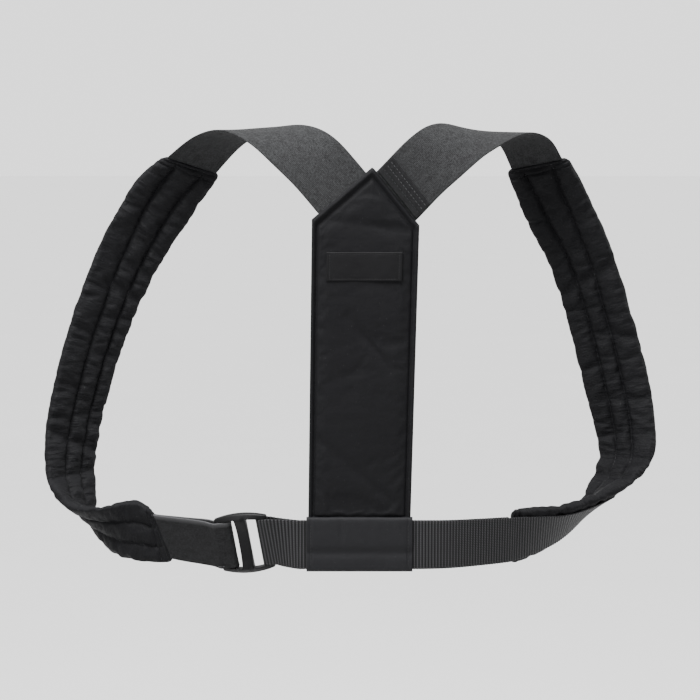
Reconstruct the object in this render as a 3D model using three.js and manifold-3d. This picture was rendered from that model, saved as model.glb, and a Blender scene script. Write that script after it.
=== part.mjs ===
import * as THREE from "three";
import { mergeVertices } from "three/addons/utils/BufferGeometryUtils.js";
import Module from "manifold-3d";

// Posture corrector in its worn form, in millimetres. +Z is up, the wearer's back is toward -Y, and the
// panel's flat inner face, which bears between the shoulder blades, lies on Y = 0. Left is -X.

const wasm = await Module();
wasm.setup();

// Clearances
const sewnGap = 0.3;
const layerGap = 0.35;

// Back panel
const panelHeight = 281;
const panelShoulderWidth = 85.5;
const panelFootWidth = 82.5;
const panelPeakRise = 44;
const panelPeakShift = 5.5;
const panelSlump = 2.4;
const panelLean = 4.8;
const panelFootX = -3.2;
const panelThickness = 4.6;
const panelPuff = 0.9;
const rimWidth = 3.2;
const rimHeight = 0.7;
const rimGroove = 0.7;

// Label patch on the panel
const labelWidth = 61;
const labelHeight = 23;
const labelThickness = 0.8;
const labelDrop = 79;
const labelWave = 0.35;

// Belt sleeve under the panel
const sleeveWidth = 85.5;
const sleeveWall = 1.8;

// Webbing and elastic
const webbingWidth = 40;
const webbingThickness = 1.5;
const elasticWidth = 50;
const elasticPadWidth = 45;
const elasticThickness = 1.6;
const elasticSeamDepth = 4;
const elasticPadDepth = 12;
const cuffLength = 16;
const cuffThickness = 1.3;
const waistElasticWidth = 40;
const waistElasticThickness = 1.5;
const waistSlack = 4.6;
const hemDepth = 8;

// Pads
const padWidth = 56;
const padCore = 1.7;
const padInnerPuff = 3.6;
const padOuterPuff = 1.6;
const padEdge = 1.9;
const padEndHalf = 3.1;
const padEndRun = 12;

// Worn loops: how far their middle line stands out, forward and up
const leftReach = 249.5;
const rightReach = 225;
const loopDepth = 120;
const shoulderRise = 50;

// Slider buckle
const buckleWidth = 44;
const buckleHeight = 52;
const buckleThickness = 4.2;
const buckleBow = 3.4;
const buckleRail = 4;
const buckleEndBar = 6.6;
const buckleMiddleBar = 9.4;
const buckleBevel = 0.8;
const buckleOut = 50;
const buckleForward = 8.5;
const buckleTip = 13;
const buckleRoll = -7;
const buckleSwing = -12;

const footZ = -panelHeight / 2;
const peakZ = panelHeight / 2;
const shoulderZ = peakZ - panelPeakRise;
const peakShare = 0.5 + panelPeakShift / panelShoulderWidth;
const sleeveHollowHeight = webbingWidth + 2 * sewnGap;
const sleeveHollowDepth = 2 * webbingThickness + layerGap + 2 * sewnGap;
const sleeveDepth = sleeveHollowDepth + 2 * sleeveWall;
const sleeveHeight = sleeveHollowHeight + 2 * sleeveWall;
const sleeveX = panelFootX;
const beltY = -sleeveDepth / 2;
const beltZ = footZ - sewnGap - sleeveHeight / 2;

// Small helpers
const radians = THREE.MathUtils.degToRad;
const lerp = THREE.MathUtils.lerp;
const bell = (distance, breadth) => Math.exp(-((distance / breadth) ** 2));
const point = (x, y, z) => new THREE.Vector3(x, y, z);

function signedVolume(positions, triangles) {
  const corner = (index) => point(...positions.slice(3 * index, 3 * index + 3));
  let sum = 0;
  for (let i = 0; i < triangles.length; i += 3) {
    const [a, b, c] = [0, 1, 2].map((k) => corner(triangles[i + k]));
    sum += a.dot(b.cross(c)) / 6;
  }
  return sum;
}

function closedGeometry(positions, triangles) {
  if (signedVolume(positions, triangles) < 0) triangles.reverse();
  const geometry = new THREE.BufferGeometry();
  geometry.setAttribute("position", new THREE.Float32BufferAttribute(positions, 3));
  geometry.setIndex(triangles);
  return geometry;
}

function toSolid(geometry) {
  const bare = geometry.clone();
  bare.deleteAttribute("normal");
  bare.deleteAttribute("uv");
  const merged = mergeVertices(bare, 1e-4);
  const vertProperties = new Float32Array(merged.attributes.position.array);
  const triVerts = new Uint32Array(merged.index.array);
  return new wasm.Manifold(new wasm.Mesh({ numProp: 3, vertProperties, triVerts }));
}

function toGeometry(solid) {
  const mesh = solid.getMesh();
  return closedGeometry(Array.from(mesh.vertProperties), Array.from(mesh.triVerts));
}

function cutAway(geometry, ...cutters) {
  return toGeometry(cutters.reduce((solid, cutter) => solid.subtract(toSolid(cutter)), toSolid(geometry)));
}

function addMesh(group, name, geometry, look) {
  const mesh = new THREE.Mesh(geometry, new THREE.MeshStandardMaterial(look));
  mesh.name = name;
  group.add(mesh);
}

// A closed solid between two grids of points with the same rows and columns
function gridSolid(front, back) {
  const rows = front.length;
  const columns = front[0].length;
  const positions = [...front.flat(), ...back.flat()].flatMap((p) => [p.x, p.y, p.z]);
  const at = (side, row, column) => side * rows * columns + row * columns + column;
  const triangles = [];
  const quad = (a, b, c, d) => triangles.push(a, b, c, a, c, d);
  for (let r = 0; r < rows - 1; r++) {
    for (let c = 0; c < columns - 1; c++) {
      quad(at(0, r, c), at(0, r, c + 1), at(0, r + 1, c + 1), at(0, r + 1, c));
      quad(at(1, r, c), at(1, r + 1, c), at(1, r + 1, c + 1), at(1, r, c + 1));
    }
    quad(at(0, r, 0), at(0, r + 1, 0), at(1, r + 1, 0), at(1, r, 0));
    quad(at(0, r, columns - 1), at(1, r, columns - 1), at(1, r + 1, columns - 1), at(0, r + 1, columns - 1));
  }
  for (let c = 0; c < columns - 1; c++) {
    quad(at(0, 0, c), at(1, 0, c), at(1, 0, c + 1), at(0, 0, c + 1));
    quad(at(0, rows - 1, c), at(0, rows - 1, c + 1), at(1, rows - 1, c + 1), at(1, rows - 1, c));
  }
  return closedGeometry(positions, triangles);
}

// Routes: a smooth line through rows of { centre, across, width }, with the frame of the strap at each point
function makeRoute(rows) {
  const centres = new THREE.CatmullRomCurve3(rows.map((row) => row.centre), false, "centripetal");
  const acrosses = new THREE.CatmullRomCurve3(rows.map((row) => row.across), false, "catmullrom", 0.5);
  const samplesPerRow = 24;
  const count = (rows.length - 1) * samplesPerRow;
  const distances = [0];
  for (let i = 1; i <= count; i++) {
    const step = centres.getPoint(i / count).distanceTo(centres.getPoint((i - 1) / count));
    distances.push(distances[i - 1] + step);
  }
  const shareAt = (distance) => {
    let i = 1;
    while (i < count && distances[i] < distance) i++;
    return (i - 1 + (distance - distances[i - 1]) / (distances[i] - distances[i - 1])) / count;
  };
  return {
    length: distances[count],
    rowCount: rows.length,
    distanceOfRow: (index) => distances[index * samplesPerRow],
    frameAt(distance) {
      const share = THREE.MathUtils.clamp(shareAt(distance), 0, 1);
      const centre = centres.getPoint(share);
      const along = centres.getTangent(share);
      const across = acrosses.getPoint(share).normalize();
      const normal = across.clone().cross(along).normalize();
      const place = share * (rows.length - 1);
      const row = Math.min(Math.floor(place), rows.length - 2);
      const blend = THREE.MathUtils.smoothstep(place - row, 0, 1);
      const column = (name) => lerp(rows[row][name], rows[row + 1][name], blend);
      return { centre, along, across, normal, column };
    },
  };
}

// Stations along a route: evenly spaced, or one at each row with more between where rows lie far apart
const evenly = (from, to, steps) => Array.from({ length: steps + 1 }, (_, i) => lerp(from, to, i / steps));
function atRows(route, longestStep) {
  const stations = [0];
  for (let row = 1; row < route.rowCount; row++) {
    const [from, to] = [route.distanceOfRow(row - 1), route.distanceOfRow(row)];
    stations.push(...evenly(from, to, Math.max(Math.ceil((to - from) / longestStep), 1)).slice(1));
  }
  return stations;
}

// A strap lofted along a route. section(distance, share, frame) gives { places, outer, inner } in millimetres:
// places across the strap, and the heights of its outer and inner face there. reach lengthens both ends.
function strapSolid(route, stations, section, reach = 0) {
  const outerGrid = [];
  const innerGrid = [];
  const [from, to] = [stations[0], stations[stations.length - 1]];
  for (const distance of stations) {
    const share = (distance - from) / (to - from);
    const frame = route.frameAt(distance);
    if (distance === from) frame.centre.addScaledVector(frame.along, -reach);
    if (distance === to) frame.centre.addScaledVector(frame.along, reach);
    const { places, outer, inner } = section(distance, share, frame);
    const lift = (heights) => places.map((place, k) =>
      frame.centre.clone().addScaledVector(frame.across, place).addScaledVector(frame.normal, heights[k]));
    outerGrid.push(lift(outer));
    innerGrid.push(lift(inner));
  }
  return gridSolid(outerGrid, innerGrid);
}

const edgeEase = 0.6;
function flatSection(width, thickness, offset = 0, grow = 0) {
  const half = thickness / 2 + grow;
  const shares = [-0.5, -0.46, 0.46, 0.5];
  const heights = shares.map((share) => (Math.abs(share) === 0.5 && grow === 0 ? half * edgeEase : half));
  return () => ({
    places: shares.map((share) => share * (width + 2 * grow)),
    outer: heights.map((height) => offset + height),
    inner: heights.map((height) => offset - height),
  });
}

// Back panel: u runs from its left side to its right, v from its foot to its V-shaped top
function panelRoof(u) {
  const leftZ = shoulderZ + panelSlump;
  const rightZ = shoulderZ - panelSlump;
  return u < peakShare
    ? lerp(leftZ, peakZ, u / peakShare)
    : lerp(peakZ, rightZ, (u - peakShare) / (1 - peakShare));
}

function panelXZ(u, v) {
  const width = lerp(panelFootWidth, panelShoulderWidth, v);
  return { x: panelFootX + panelLean * v + (u - 0.5) * width, z: lerp(footZ, panelRoof(u), v) };
}

// Soft creases: their ends as shares of the panel's width and height, depth and breadth in shares of its puff
// and width
const panelCreases = [
  { fromAcross: 0.36, fromUp: 0.61, toAcross: 0.76, toUp: 0.46, depth: 0.8, breadth: 0.05 },
  { fromAcross: 0.1, fromUp: 0.25, toAcross: 0.82, toUp: 0.05, depth: 0.75, breadth: 0.05 },
  { fromAcross: 0.1, fromUp: 0.97, toAcross: 0.92, toUp: 0.95, depth: 0.5, breadth: 0.06 },
];

function creaseDepth(x, z) {
  return panelCreases.reduce((sum, crease) => {
    const from = panelXZ(crease.fromAcross, crease.fromUp);
    const to = panelXZ(crease.toAcross, crease.toUp);
    const length = Math.hypot(to.x - from.x, to.z - from.z);
    const along = ((x - from.x) * (to.x - from.x) + (z - from.z) * (to.z - from.z)) / length ** 2;
    const t = THREE.MathUtils.clamp(along, 0, 1);
    const away = Math.hypot(x - lerp(from.x, to.x, t), z - lerp(from.z, to.z, t));
    return sum + crease.depth * panelPuff * bell(away, crease.breadth * panelShoulderWidth);
  }, 0);
}

// The stitched groove inside the rim and the run over which the panel fills out, as shares of the rim's width
const grooveInset = 1.5;
const grooveBreadth = 0.5;
const fillRun = 5;

function panelFaceY(u, v) {
  const { x, z } = panelXZ(u, v);
  const slope = Math.cos(Math.atan2(panelPeakRise, panelShoulderWidth / 2));
  const edge = Math.min(
    u * panelShoulderWidth,
    (1 - u) * panelShoulderWidth,
    z - footZ,
    (panelRoof(u) - z) * slope,
  );
  if (edge < rimWidth) {
    const bulge = rimHeight * Math.sin((Math.PI * edge) / rimWidth);
    return -(panelThickness - rimGroove * (1 - edge / rimWidth) + bulge);
  }
  const groove = rimGroove * bell(edge - grooveInset * rimWidth, grooveBreadth * rimWidth);
  const fill = THREE.MathUtils.smoothstep(edge, rimWidth, fillRun * rimWidth);
  return -(panelThickness + panelPuff * fill - groove) + creaseDepth(x, z);
}

// Grid lines that crowd at both ends of a span, at these shares of the rim's width, with the chosen inner count
// between
const rimLines = [0, 0.5, 1, 1.5, 2.2];
function crowdedShares(span, innerCount) {
  const ends = rimLines.map((share) => (share * rimWidth) / span);
  const first = ends[ends.length - 1];
  const inner = Array.from({ length: innerCount }, (_, i) => lerp(first, 1 - first, (i + 1) / (innerCount + 1)));
  return [...ends, ...inner, ...ends.map((share) => 1 - share).reverse()];
}

function panelGeometry() {
  const columns = crowdedShares(panelShoulderWidth, 6);
  const nearest = columns.reduce((best, u, i) =>
    (Math.abs(u - peakShare) < Math.abs(columns[best] - peakShare) ? i : best), 0);
  columns[nearest] = peakShare;
  const rows = crowdedShares(panelHeight - panelPeakRise, 15);
  const front = rows.map((v) => columns.map((u) => {
    const { x, z } = panelXZ(u, v);
    return point(x, panelFaceY(u, v), z);
  }));
  const flat = front.map((row) => row.map((p) => point(p.x, 0, p.z)));
  return gridSolid(front, flat);
}

// Label patch: follows the panel's face at the sewn gap, with a slight wave
function labelGeometry() {
  const columns = 10;
  const rows = 3;
  const grid = (lift) => Array.from({ length: rows + 1 }, (_, r) =>
    Array.from({ length: columns + 1 }, (_, c) => {
      const u = 0.5 + (labelWidth / panelShoulderWidth) * (c / columns - 0.5);
      const level = peakZ - labelDrop - labelHeight / 2 + (labelHeight * r) / rows;
      const v = (level - footZ) / (panelRoof(u) - footZ);
      const { x, z } = panelXZ(u, v);
      const wave = labelWave * (1 + Math.sin((3 * Math.PI * c) / columns)) / 2;
      return point(x, panelFaceY(u, v) - sewnGap - wave - lift, z);
    }));
  return gridSolid(grid(labelThickness), grid(0));
}

// Where the elastic meets each slope of the V, with the outward direction and the direction along the edge
function vSeam(side) {
  const corner = panelXZ(side < 0 ? 0 : 1, 1);
  const peak = panelXZ(peakShare, 1);
  const edge = point(peak.x - corner.x, 0, peak.z - corner.z).normalize();
  const across = side < 0 ? edge : edge.clone().negate();
  const outward = point(-across.z, 0, across.x);
  const centre = point((peak.x + corner.x) / 2, -panelThickness / 2, (peak.z + corner.z) / 2);
  return { centre, across, outward };
}

// Rows of each loop after the seam. out: share of the reach; front: share of the depth; up: share from the
// belt's line to the shoulder's top; width: share of the pad's width; turn and lean: the direction across the
// strap, in the XZ plane from +X toward +Z and out of it toward +Y, in degrees; seamA and seamB: the quilting
// seams, as shares of the width from the strap's left edge over the shoulder.
const leftRows = [
  { out: 0.165, front: 0.04, up: 0.93, width: 0.8, turn: 38, lean: 4, seamA: 0.33, seamB: 0.7 },
  { out: 0.265, front: 0.2, up: 0.985, width: 0.8, turn: 20, lean: 18, seamA: 0.33, seamB: 0.7 },
  { out: 0.37, front: 0.43, up: 1, width: 0.8, turn: 3, lean: 27, seamA: 0.3, seamB: 0.72 },
  { out: 0.475, front: 0.68, up: 0.975, width: 0.8, turn: -8, lean: 28, seamA: 0.27, seamB: 0.74 },
  { out: 0.575, front: 0.865, up: 0.91, width: 0.93, turn: -18, lean: 20, seamA: 0.27, seamB: 0.74 },
  { out: 0.68, front: 0.95, up: 0.82, width: 1.02, turn: -31, lean: 14, seamA: 0.34, seamB: 0.7 },
  { out: 0.8, front: 1, up: 0.675, width: 0.99, turn: -26, lean: 18, seamA: 0.42, seamB: 0.73 },
  { out: 0.885, front: 1, up: 0.53, width: 0.96, turn: -20, lean: 26, seamA: 0.44, seamB: 0.74 },
  { out: 0.95, front: 0.98, up: 0.385, width: 0.94, turn: -14, lean: 32, seamA: 0.45, seamB: 0.75 },
  { out: 0.995, front: 0.93, up: 0.23, width: 0.93, turn: -8, lean: 35, seamA: 0.43, seamB: 0.74 },
  { out: 1, front: 0.86, up: 0.13, width: 0.92, turn: -8, lean: 43, seamA: 0.39, seamB: 0.7 },
  { out: 0.985, front: 0.78, up: 0.075, width: 0.92, turn: -20, lean: 52, seamA: 0.38, seamB: 0.7 },
  { out: 0.95, front: 0.68, up: 0.03, width: 0.92, turn: -52, lean: 58, seamA: 0.37, seamB: 0.7 },
  { out: 0.885, front: 0.56, up: 0.01, width: 0.95, turn: -88, lean: 50, seamA: 0.36, seamB: 0.7 },
  { out: 0.82, front: 0.46, up: 0.005, width: 0.96, turn: -95, lean: 28, seamA: 0.35, seamB: 0.7 },
  { out: 0.755, front: 0.38, up: 0.005, width: 0.93, turn: -88, lean: 8, seamA: 0.35, seamB: 0.7 },
  { out: 0.66, front: 0.3, up: -0.003, width: 0.84, turn: -68, lean: 0, seamA: 0.35, seamB: 0.7 },
];
const rightRows = [
  { out: 0.235, front: 0.04, up: 0.93, width: 0.8, turn: -50, lean: -4, seamA: 0.3, seamB: 0.67 },
  { out: 0.35, front: 0.2, up: 0.985, width: 0.8, turn: -30, lean: -20, seamA: 0.3, seamB: 0.67 },
  { out: 0.485, front: 0.43, up: 1, width: 0.8, turn: -3, lean: -29, seamA: 0.28, seamB: 0.7 },
  { out: 0.59, front: 0.68, up: 0.98, width: 0.8, turn: 3, lean: -26, seamA: 0.26, seamB: 0.72 },
  { out: 0.65, front: 0.85, up: 0.92, width: 0.98, turn: 12, lean: -20, seamA: 0.26, seamB: 0.72 },
  { out: 0.72, front: 0.94, up: 0.825, width: 1.03, turn: 24, lean: -16, seamA: 0.3, seamB: 0.66 },
  { out: 0.825, front: 1, up: 0.68, width: 1.02, turn: 22, lean: -20, seamA: 0.32, seamB: 0.62 },
  { out: 0.895, front: 1, up: 0.535, width: 1, turn: 16, lean: -18, seamA: 0.33, seamB: 0.61 },
  { out: 0.955, front: 0.98, up: 0.385, width: 1.01, turn: 13, lean: -14, seamA: 0.33, seamB: 0.6 },
  { out: 1, front: 0.925, up: 0.23, width: 0.98, turn: 7, lean: -27, seamA: 0.33, seamB: 0.6 },
  { out: 0.995, front: 0.85, up: 0.163, width: 0.95, turn: 4, lean: -38, seamA: 0.33, seamB: 0.62 },
  { out: 0.945, front: 0.75, up: 0.108, width: 0.93, turn: 20, lean: -46, seamA: 0.34, seamB: 0.64 },
  { out: 0.86, front: 0.63, up: 0.06, width: 0.92, turn: 50, lean: -54, seamA: 0.34, seamB: 0.66 },
  { out: 0.75, front: 0.5, up: 0.022, width: 0.92, turn: 82, lean: -50, seamA: 0.34, seamB: 0.66 },
  { out: 0.65, front: 0.38, up: 0.007, width: 0.9, turn: 90, lean: -34, seamA: 0.34, seamB: 0.66 },
  { out: 0.54, front: 0.27, up: -0.003, width: 0.87, turn: 90, lean: -14, seamA: 0.34, seamB: 0.66 },
];
const padTopRow = 5;
const seamRows = 2;

function acrossFrom(turn, lean) {
  const flat = Math.cos(radians(lean));
  return point(flat * Math.cos(radians(turn)), Math.sin(radians(lean)), flat * Math.sin(radians(turn)));
}

function loopRoute(side, reach, rows) {
  const seam = vSeam(side);
  const shoulderTop = seam.centre.z + shoulderRise;
  const first = rows[0];
  const seamRow = (centre) => ({ ...first, centre, across: seam.across });
  const inside = seam.centre.clone().addScaledVector(seam.outward, -elasticSeamDepth);
  const shaped = rows.map((row) => ({
    ...row,
    centre: point(side * reach * row.out, loopDepth * row.front, lerp(beltZ, shoulderTop, row.up)),
    across: acrossFrom(row.turn, row.lean),
  }));
  return makeRoute([seamRow(inside), seamRow(seam.centre), ...shaped]);
}

const leftLoop = loopRoute(-1, leftReach, leftRows);
const rightLoop = loopRoute(1, rightReach, rightRows);
const leftPadFrom = leftLoop.distanceOfRow(padTopRow + seamRows - 1);
const rightPadFrom = rightLoop.distanceOfRow(padTopRow + seamRows - 1);

// Shoulder elastic: 50 mm at the panel, drawn in a little where the pad takes it
const elasticSteps = 28;

function elasticSection(padFrom, grow = 0) {
  return (distance) => {
    const narrow = THREE.MathUtils.smoothstep(distance, padFrom / 2, padFrom);
    const width = lerp(elasticWidth, elasticPadWidth, narrow);
    return flatSection(width, elasticThickness, 0, grow)();
  };
}

function elasticGeometry(loop, padFrom) {
  return strapSolid(loop, evenly(0, padFrom + elasticPadDepth, elasticSteps), elasticSection(padFrom));
}

// What the elastic takes up in the panel and the pad, with the sewn gap all round
function elasticRoom(loop, padFrom) {
  const section = elasticSection(padFrom, sewnGap);
  return strapSolid(loop, evenly(0, padFrom + elasticPadDepth, elasticSteps), section, sewnGap);
}

function cuffGeometry() {
  const offset = elasticThickness / 2 + sewnGap + cuffThickness / 2;
  const from = elasticSeamDepth + panelThickness / 4;
  const section = flatSection(elasticWidth - 1, cuffThickness, offset);
  return strapSolid(rightLoop, evenly(from, from + cuffLength, 6), section);
}

// Cross folds of the pads. at: share of the pad's length; from and to: shares of its width; depth: share of
// the puff; breadth: share of the pad's width; skew: how far along the fold runs over the whole width, as a
// share of the width.
const leftFolds = [
  { at: 0.06, from: 0.6, to: 1, depth: 0.45, breadth: 0.08, skew: 0.15 },
  { at: 0.13, from: 0, to: 0.4, depth: 0.4, breadth: 0.09, skew: -0.1 },
  { at: 0.19, from: 0.35, to: 1, depth: 0.45, breadth: 0.09, skew: 0.2 },
  { at: 0.245, from: 0.35, to: 1, depth: 0.5, breadth: 0.1, skew: 0.1 },
  { at: 0.3, from: 0.3, to: 1, depth: 0.85, breadth: 0.11, skew: 0.15 },
  { at: 0.31, from: 0, to: 0.3, depth: 0.4, breadth: 0.09, skew: 0 },
  { at: 0.365, from: 0.4, to: 1, depth: 0.5, breadth: 0.09, skew: -0.15 },
  { at: 0.41, from: 0, to: 0.5, depth: 0.4, breadth: 0.1, skew: 0.2 },
  { at: 0.44, from: 0.4, to: 0.9, depth: 0.45, breadth: 0.09, skew: 0.1 },
  { at: 0.52, from: 0, to: 0.4, depth: 0.45, breadth: 0.1, skew: 0.1 },
  { at: 0.575, from: 0.4, to: 1, depth: 0.5, breadth: 0.1, skew: -0.2 },
  { at: 0.63, from: 0, to: 1, depth: 0.6, breadth: 0.11, skew: 0.3 },
  { at: 0.7, from: 0, to: 1, depth: 0.6, breadth: 0.12, skew: -0.2 },
  { at: 0.77, from: 0.2, to: 1, depth: 0.5, breadth: 0.12, skew: 0.2 },
  { at: 0.86, from: 0, to: 0.7, depth: 0.4, breadth: 0.1, skew: 0.1 },
];
const rightFolds = [
  { at: 0.07, from: 0, to: 0.5, depth: 0.4, breadth: 0.09, skew: 0.1 },
  { at: 0.14, from: 0.5, to: 1, depth: 0.4, breadth: 0.09, skew: -0.1 },
  { at: 0.2, from: 0, to: 0.7, depth: 0.5, breadth: 0.1, skew: 0.2 },
  { at: 0.27, from: 0, to: 1, depth: 0.85, breadth: 0.11, skew: -0.25 },
  { at: 0.33, from: 0, to: 0.6, depth: 0.45, breadth: 0.09, skew: 0.1 },
  { at: 0.39, from: 0.4, to: 1, depth: 0.55, breadth: 0.1, skew: 0.3 },
  { at: 0.45, from: 0, to: 0.5, depth: 0.45, breadth: 0.1, skew: -0.1 },
  { at: 0.53, from: 0.3, to: 1, depth: 0.45, breadth: 0.1, skew: 0.1 },
  { at: 0.6, from: 0, to: 0.5, depth: 0.5, breadth: 0.1, skew: -0.2 },
  { at: 0.66, from: 0, to: 1, depth: 0.95, breadth: 0.12, skew: 0.05 },
  { at: 0.71, from: 0, to: 1, depth: 0.7, breadth: 0.1, skew: 0.2 },
  { at: 0.79, from: 0, to: 0.6, depth: 0.5, breadth: 0.11, skew: -0.1 },
  { at: 0.88, from: 0.3, to: 1, depth: 0.4, breadth: 0.1, skew: 0.1 },
];

const padSteps = 50;

function foldDepth(folds, along, across, length) {
  return folds.reduce((deepest, fold) => {
    const away = (along - fold.at) * length - fold.skew * padWidth * (across - 0.5);
    const inside = THREE.MathUtils.smoothstep(across, fold.from - 0.08, fold.from + 0.08)
      * (1 - THREE.MathUtils.smoothstep(across, fold.to - 0.08, fold.to + 0.08));
    return Math.max(deepest, fold.depth * inside * bell(away, fold.breadth * padWidth));
  }, 0);
}

function padSection(padFrom, padTo, folds) {
  const length = padTo - padFrom;
  const channelPoints = [0, 0.22, 0.5, 0.78, 1];
  return (distance, share, frame) => {
    const seams = [0, frame.column("seamA"), frame.column("seamB"), 1];
    const width = padWidth * frame.column("width");
    const toEnd = Math.min(distance - padFrom, padTo - distance);
    const full = THREE.MathUtils.smoothstep(toEnd, 0, padEndRun);
    const samples = [];
    for (let channel = 0; channel < 3; channel++) {
      const inChannel = channel < 2 ? channelPoints.slice(0, -1) : channelPoints;
      for (const place of inChannel) {
        const across = lerp(seams[channel], seams[channel + 1], place);
        samples.push({ across, crown: (1 - (2 * place - 1) ** 2) ** 0.6 });
      }
    }
    const height = (sample, puff) => {
      const atEdge = sample.across === 0 || sample.across === 1;
      const core = atEdge ? padEdge : padCore;
      const soft = core + puff * sample.crown * (1 - foldDepth(folds, share, sample.across, length));
      return lerp(atEdge ? core : padEndHalf, soft, full);
    };
    return {
      places: samples.map((sample) => (sample.across - 0.5) * width),
      outer: samples.map((sample) => height(sample, padOuterPuff)),
      inner: samples.map((sample) => -height(sample, padInnerPuff)),
    };
  };
}

// Left pad, with the pocket in its hem for both layers of the waist elastic
function padLeftGeometry() {
  const padTo = leftLoop.length;
  const stations = evenly(leftPadFrom, padTo, padSteps);
  const pad = strapSolid(leftLoop, stations, padSection(leftPadFrom, padTo, leftFolds));
  const hemThickness = 2 * waistElasticThickness + layerGap;
  const hemSection = flatSection(waistElasticWidth, hemThickness, 0, sewnGap);
  const hemPocket = strapSolid(leftLoop, evenly(padTo - hemDepth, padTo, 2), hemSection, sewnGap);
  return cutAway(pad, elasticRoom(leftLoop, leftPadFrom), hemPocket);
}

function padRightGeometry() {
  const padTo = rightLoop.length;
  const stations = evenly(rightPadFrom, padTo, padSteps);
  const pad = strapSolid(rightLoop, stations, padSection(rightPadFrom, padTo, rightFolds));
  return cutAway(pad, elasticRoom(rightLoop, rightPadFrom));
}

// Slider buckle: a three-bar plate, placed on the belt's line
const buckleTurn = new THREE.Matrix4().makeRotationFromEuler(
  new THREE.Euler(radians(buckleTip), radians(buckleRoll), radians(buckleSwing), "ZYX"));
const buckleCentre = point(sleeveX - sleeveWidth / 2 - buckleOut, beltY + buckleForward, beltZ);
const onBuckle = (x, y, z) => point(x, y, z).applyMatrix4(buckleTurn).add(buckleCentre);
const barDown = point(0, 0, -1).applyMatrix4(buckleTurn);
const barOut = (buckleWidth - buckleEndBar) / 2;

function buckleGeometry() {
  const halfWidth = buckleWidth / 2 - buckleBevel;
  const cornerZ = buckleHeight / 2 - buckleBow - buckleBevel;
  const shape = new THREE.Shape();
  shape.moveTo(-halfWidth, -cornerZ);
  shape.quadraticCurveTo(0, -cornerZ - 2 * buckleBow, halfWidth, -cornerZ);
  shape.lineTo(halfWidth, cornerZ);
  shape.quadraticCurveTo(0, cornerZ + 2 * buckleBow, -halfWidth, cornerZ);
  shape.closePath();
  const plate = new THREE.ExtrudeGeometry(shape, {
    depth: buckleThickness - 2 * buckleBevel,
    curveSegments: 8,
    bevelEnabled: true,
    bevelSize: buckleBevel,
    bevelThickness: buckleBevel,
    bevelSegments: 2,
  });
  plate.translate(0, 0, -(buckleThickness - 2 * buckleBevel) / 2);
  plate.rotateX(Math.PI / 2);
  const slotWidth = (buckleWidth - 2 * buckleEndBar - buckleMiddleBar) / 2;
  const slots = [-1, 1].map((side) => {
    const slot = new THREE.BoxGeometry(slotWidth, 2 * buckleThickness, buckleHeight - 2 * buckleRail);
    return slot.translate((side * (buckleMiddleBar + slotWidth)) / 2, 0, 0);
  });
  const buckle = cutAway(plate, ...slots);
  buckle.applyMatrix4(buckleTurn);
  return buckle.translate(buckleCentre.x, buckleCentre.y, buckleCentre.z);
}

// A strap that runs to a bar, round it and back. middle: rows of { centre, across, halfGap } up to the bar;
// towardBar: the direction in which it reaches the bar; slack: how far its bend stands off the bar. The outer
// layer comes first.
function roundBar(middle, bar, across, towardBar, thickness, slack = 0) {
  const layer = (sign) => middle.map((row, i) => {
    const before = middle[Math.max(i - 1, 0)].centre;
    const after = middle[Math.min(i + 1, middle.length - 1)].centre;
    const normal = row.across.clone().cross(after.clone().sub(before)).normalize();
    return { across: row.across, centre: row.centre.clone().addScaledVector(normal, sign * row.halfGap) };
  });
  const radius = buckleThickness / 2 + sewnGap + thickness / 2;
  const away = across.clone().cross(towardBar).normalize();
  const reach = buckleEndBar / 2 - buckleBevel;
  const outside = buckleEndBar / 2 + sewnGap;
  const arcSteps = 6;
  const arc = Array.from({ length: arcSteps + 1 }, (_, i) => {
    const angle = (Math.PI * i) / arcSteps;
    const along = reach + slack + radius * Math.sin(angle);
    const centre = bar.clone().addScaledVector(away, radius * Math.cos(angle)).addScaledVector(towardBar, along);
    return { across, centre };
  });
  const beside = (sign, along) => ({
    across,
    centre: bar.clone().addScaledVector(away, sign * radius).addScaledVector(towardBar, along),
  });
  const start = [beside(1, -outside), beside(1, 0)];
  const end = [beside(-1, 0), beside(-1, -outside)];
  return { outer: [...layer(1), ...start], arc, inner: [...end, ...layer(-1).reverse()] };
}

// Waist elastic: both ends in the left pad's hem, its bend round the buckle's left bar
const waistHalfGap = (waistElasticThickness + layerGap) / 2;

function waistElasticGeometry() {
  const bar = onBuckle(-barOut, 0, 0);
  const towardBar = point(1, 0, 0).applyMatrix4(buckleTurn);
  const radius = buckleThickness / 2 + sewnGap + waistElasticThickness / 2;
  const inHem = [1, 0.5, 0].map((share) => {
    const frame = leftLoop.frameAt(leftLoop.length - hemDepth * share);
    return { centre: frame.centre, across: frame.across, halfGap: waistHalfGap };
  });
  const hem = leftLoop.frameAt(leftLoop.length);
  const outsideHem = hem.centre.clone().addScaledVector(hem.along, hemDepth / 2);
  const towardBuckle = [0.02, 0.5, 0.8].map((share) => ({
    centre: outsideHem.clone().lerp(bar, share),
    across: hem.across.clone().lerp(barDown, share).normalize(),
    halfGap: lerp(waistHalfGap, radius, share ** 2),
  }));
  const middle = [...inHem, ...towardBuckle];
  const { outer, arc, inner } = roundBar(
    middle, bar, barDown, towardBar, waistElasticThickness, waistSlack);
  const route = makeRoute([...outer, ...arc, ...inner].map((row) => ({ ...row, width: 1 })));
  return strapSolid(route, atRows(route, 7), flatSection(waistElasticWidth, waistElasticThickness));
}

// Webbing: on the right pad's outer face, through the sleeve, round the buckle's right bar and back to a tail
const webbingPadRun = 95;
const webbingRide = 0.75;
const webbingPadLift = padCore + padOuterPuff + webbingRide + webbingThickness / 2;
const webbingHalfGap = (webbingThickness + layerGap) / 2;

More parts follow.
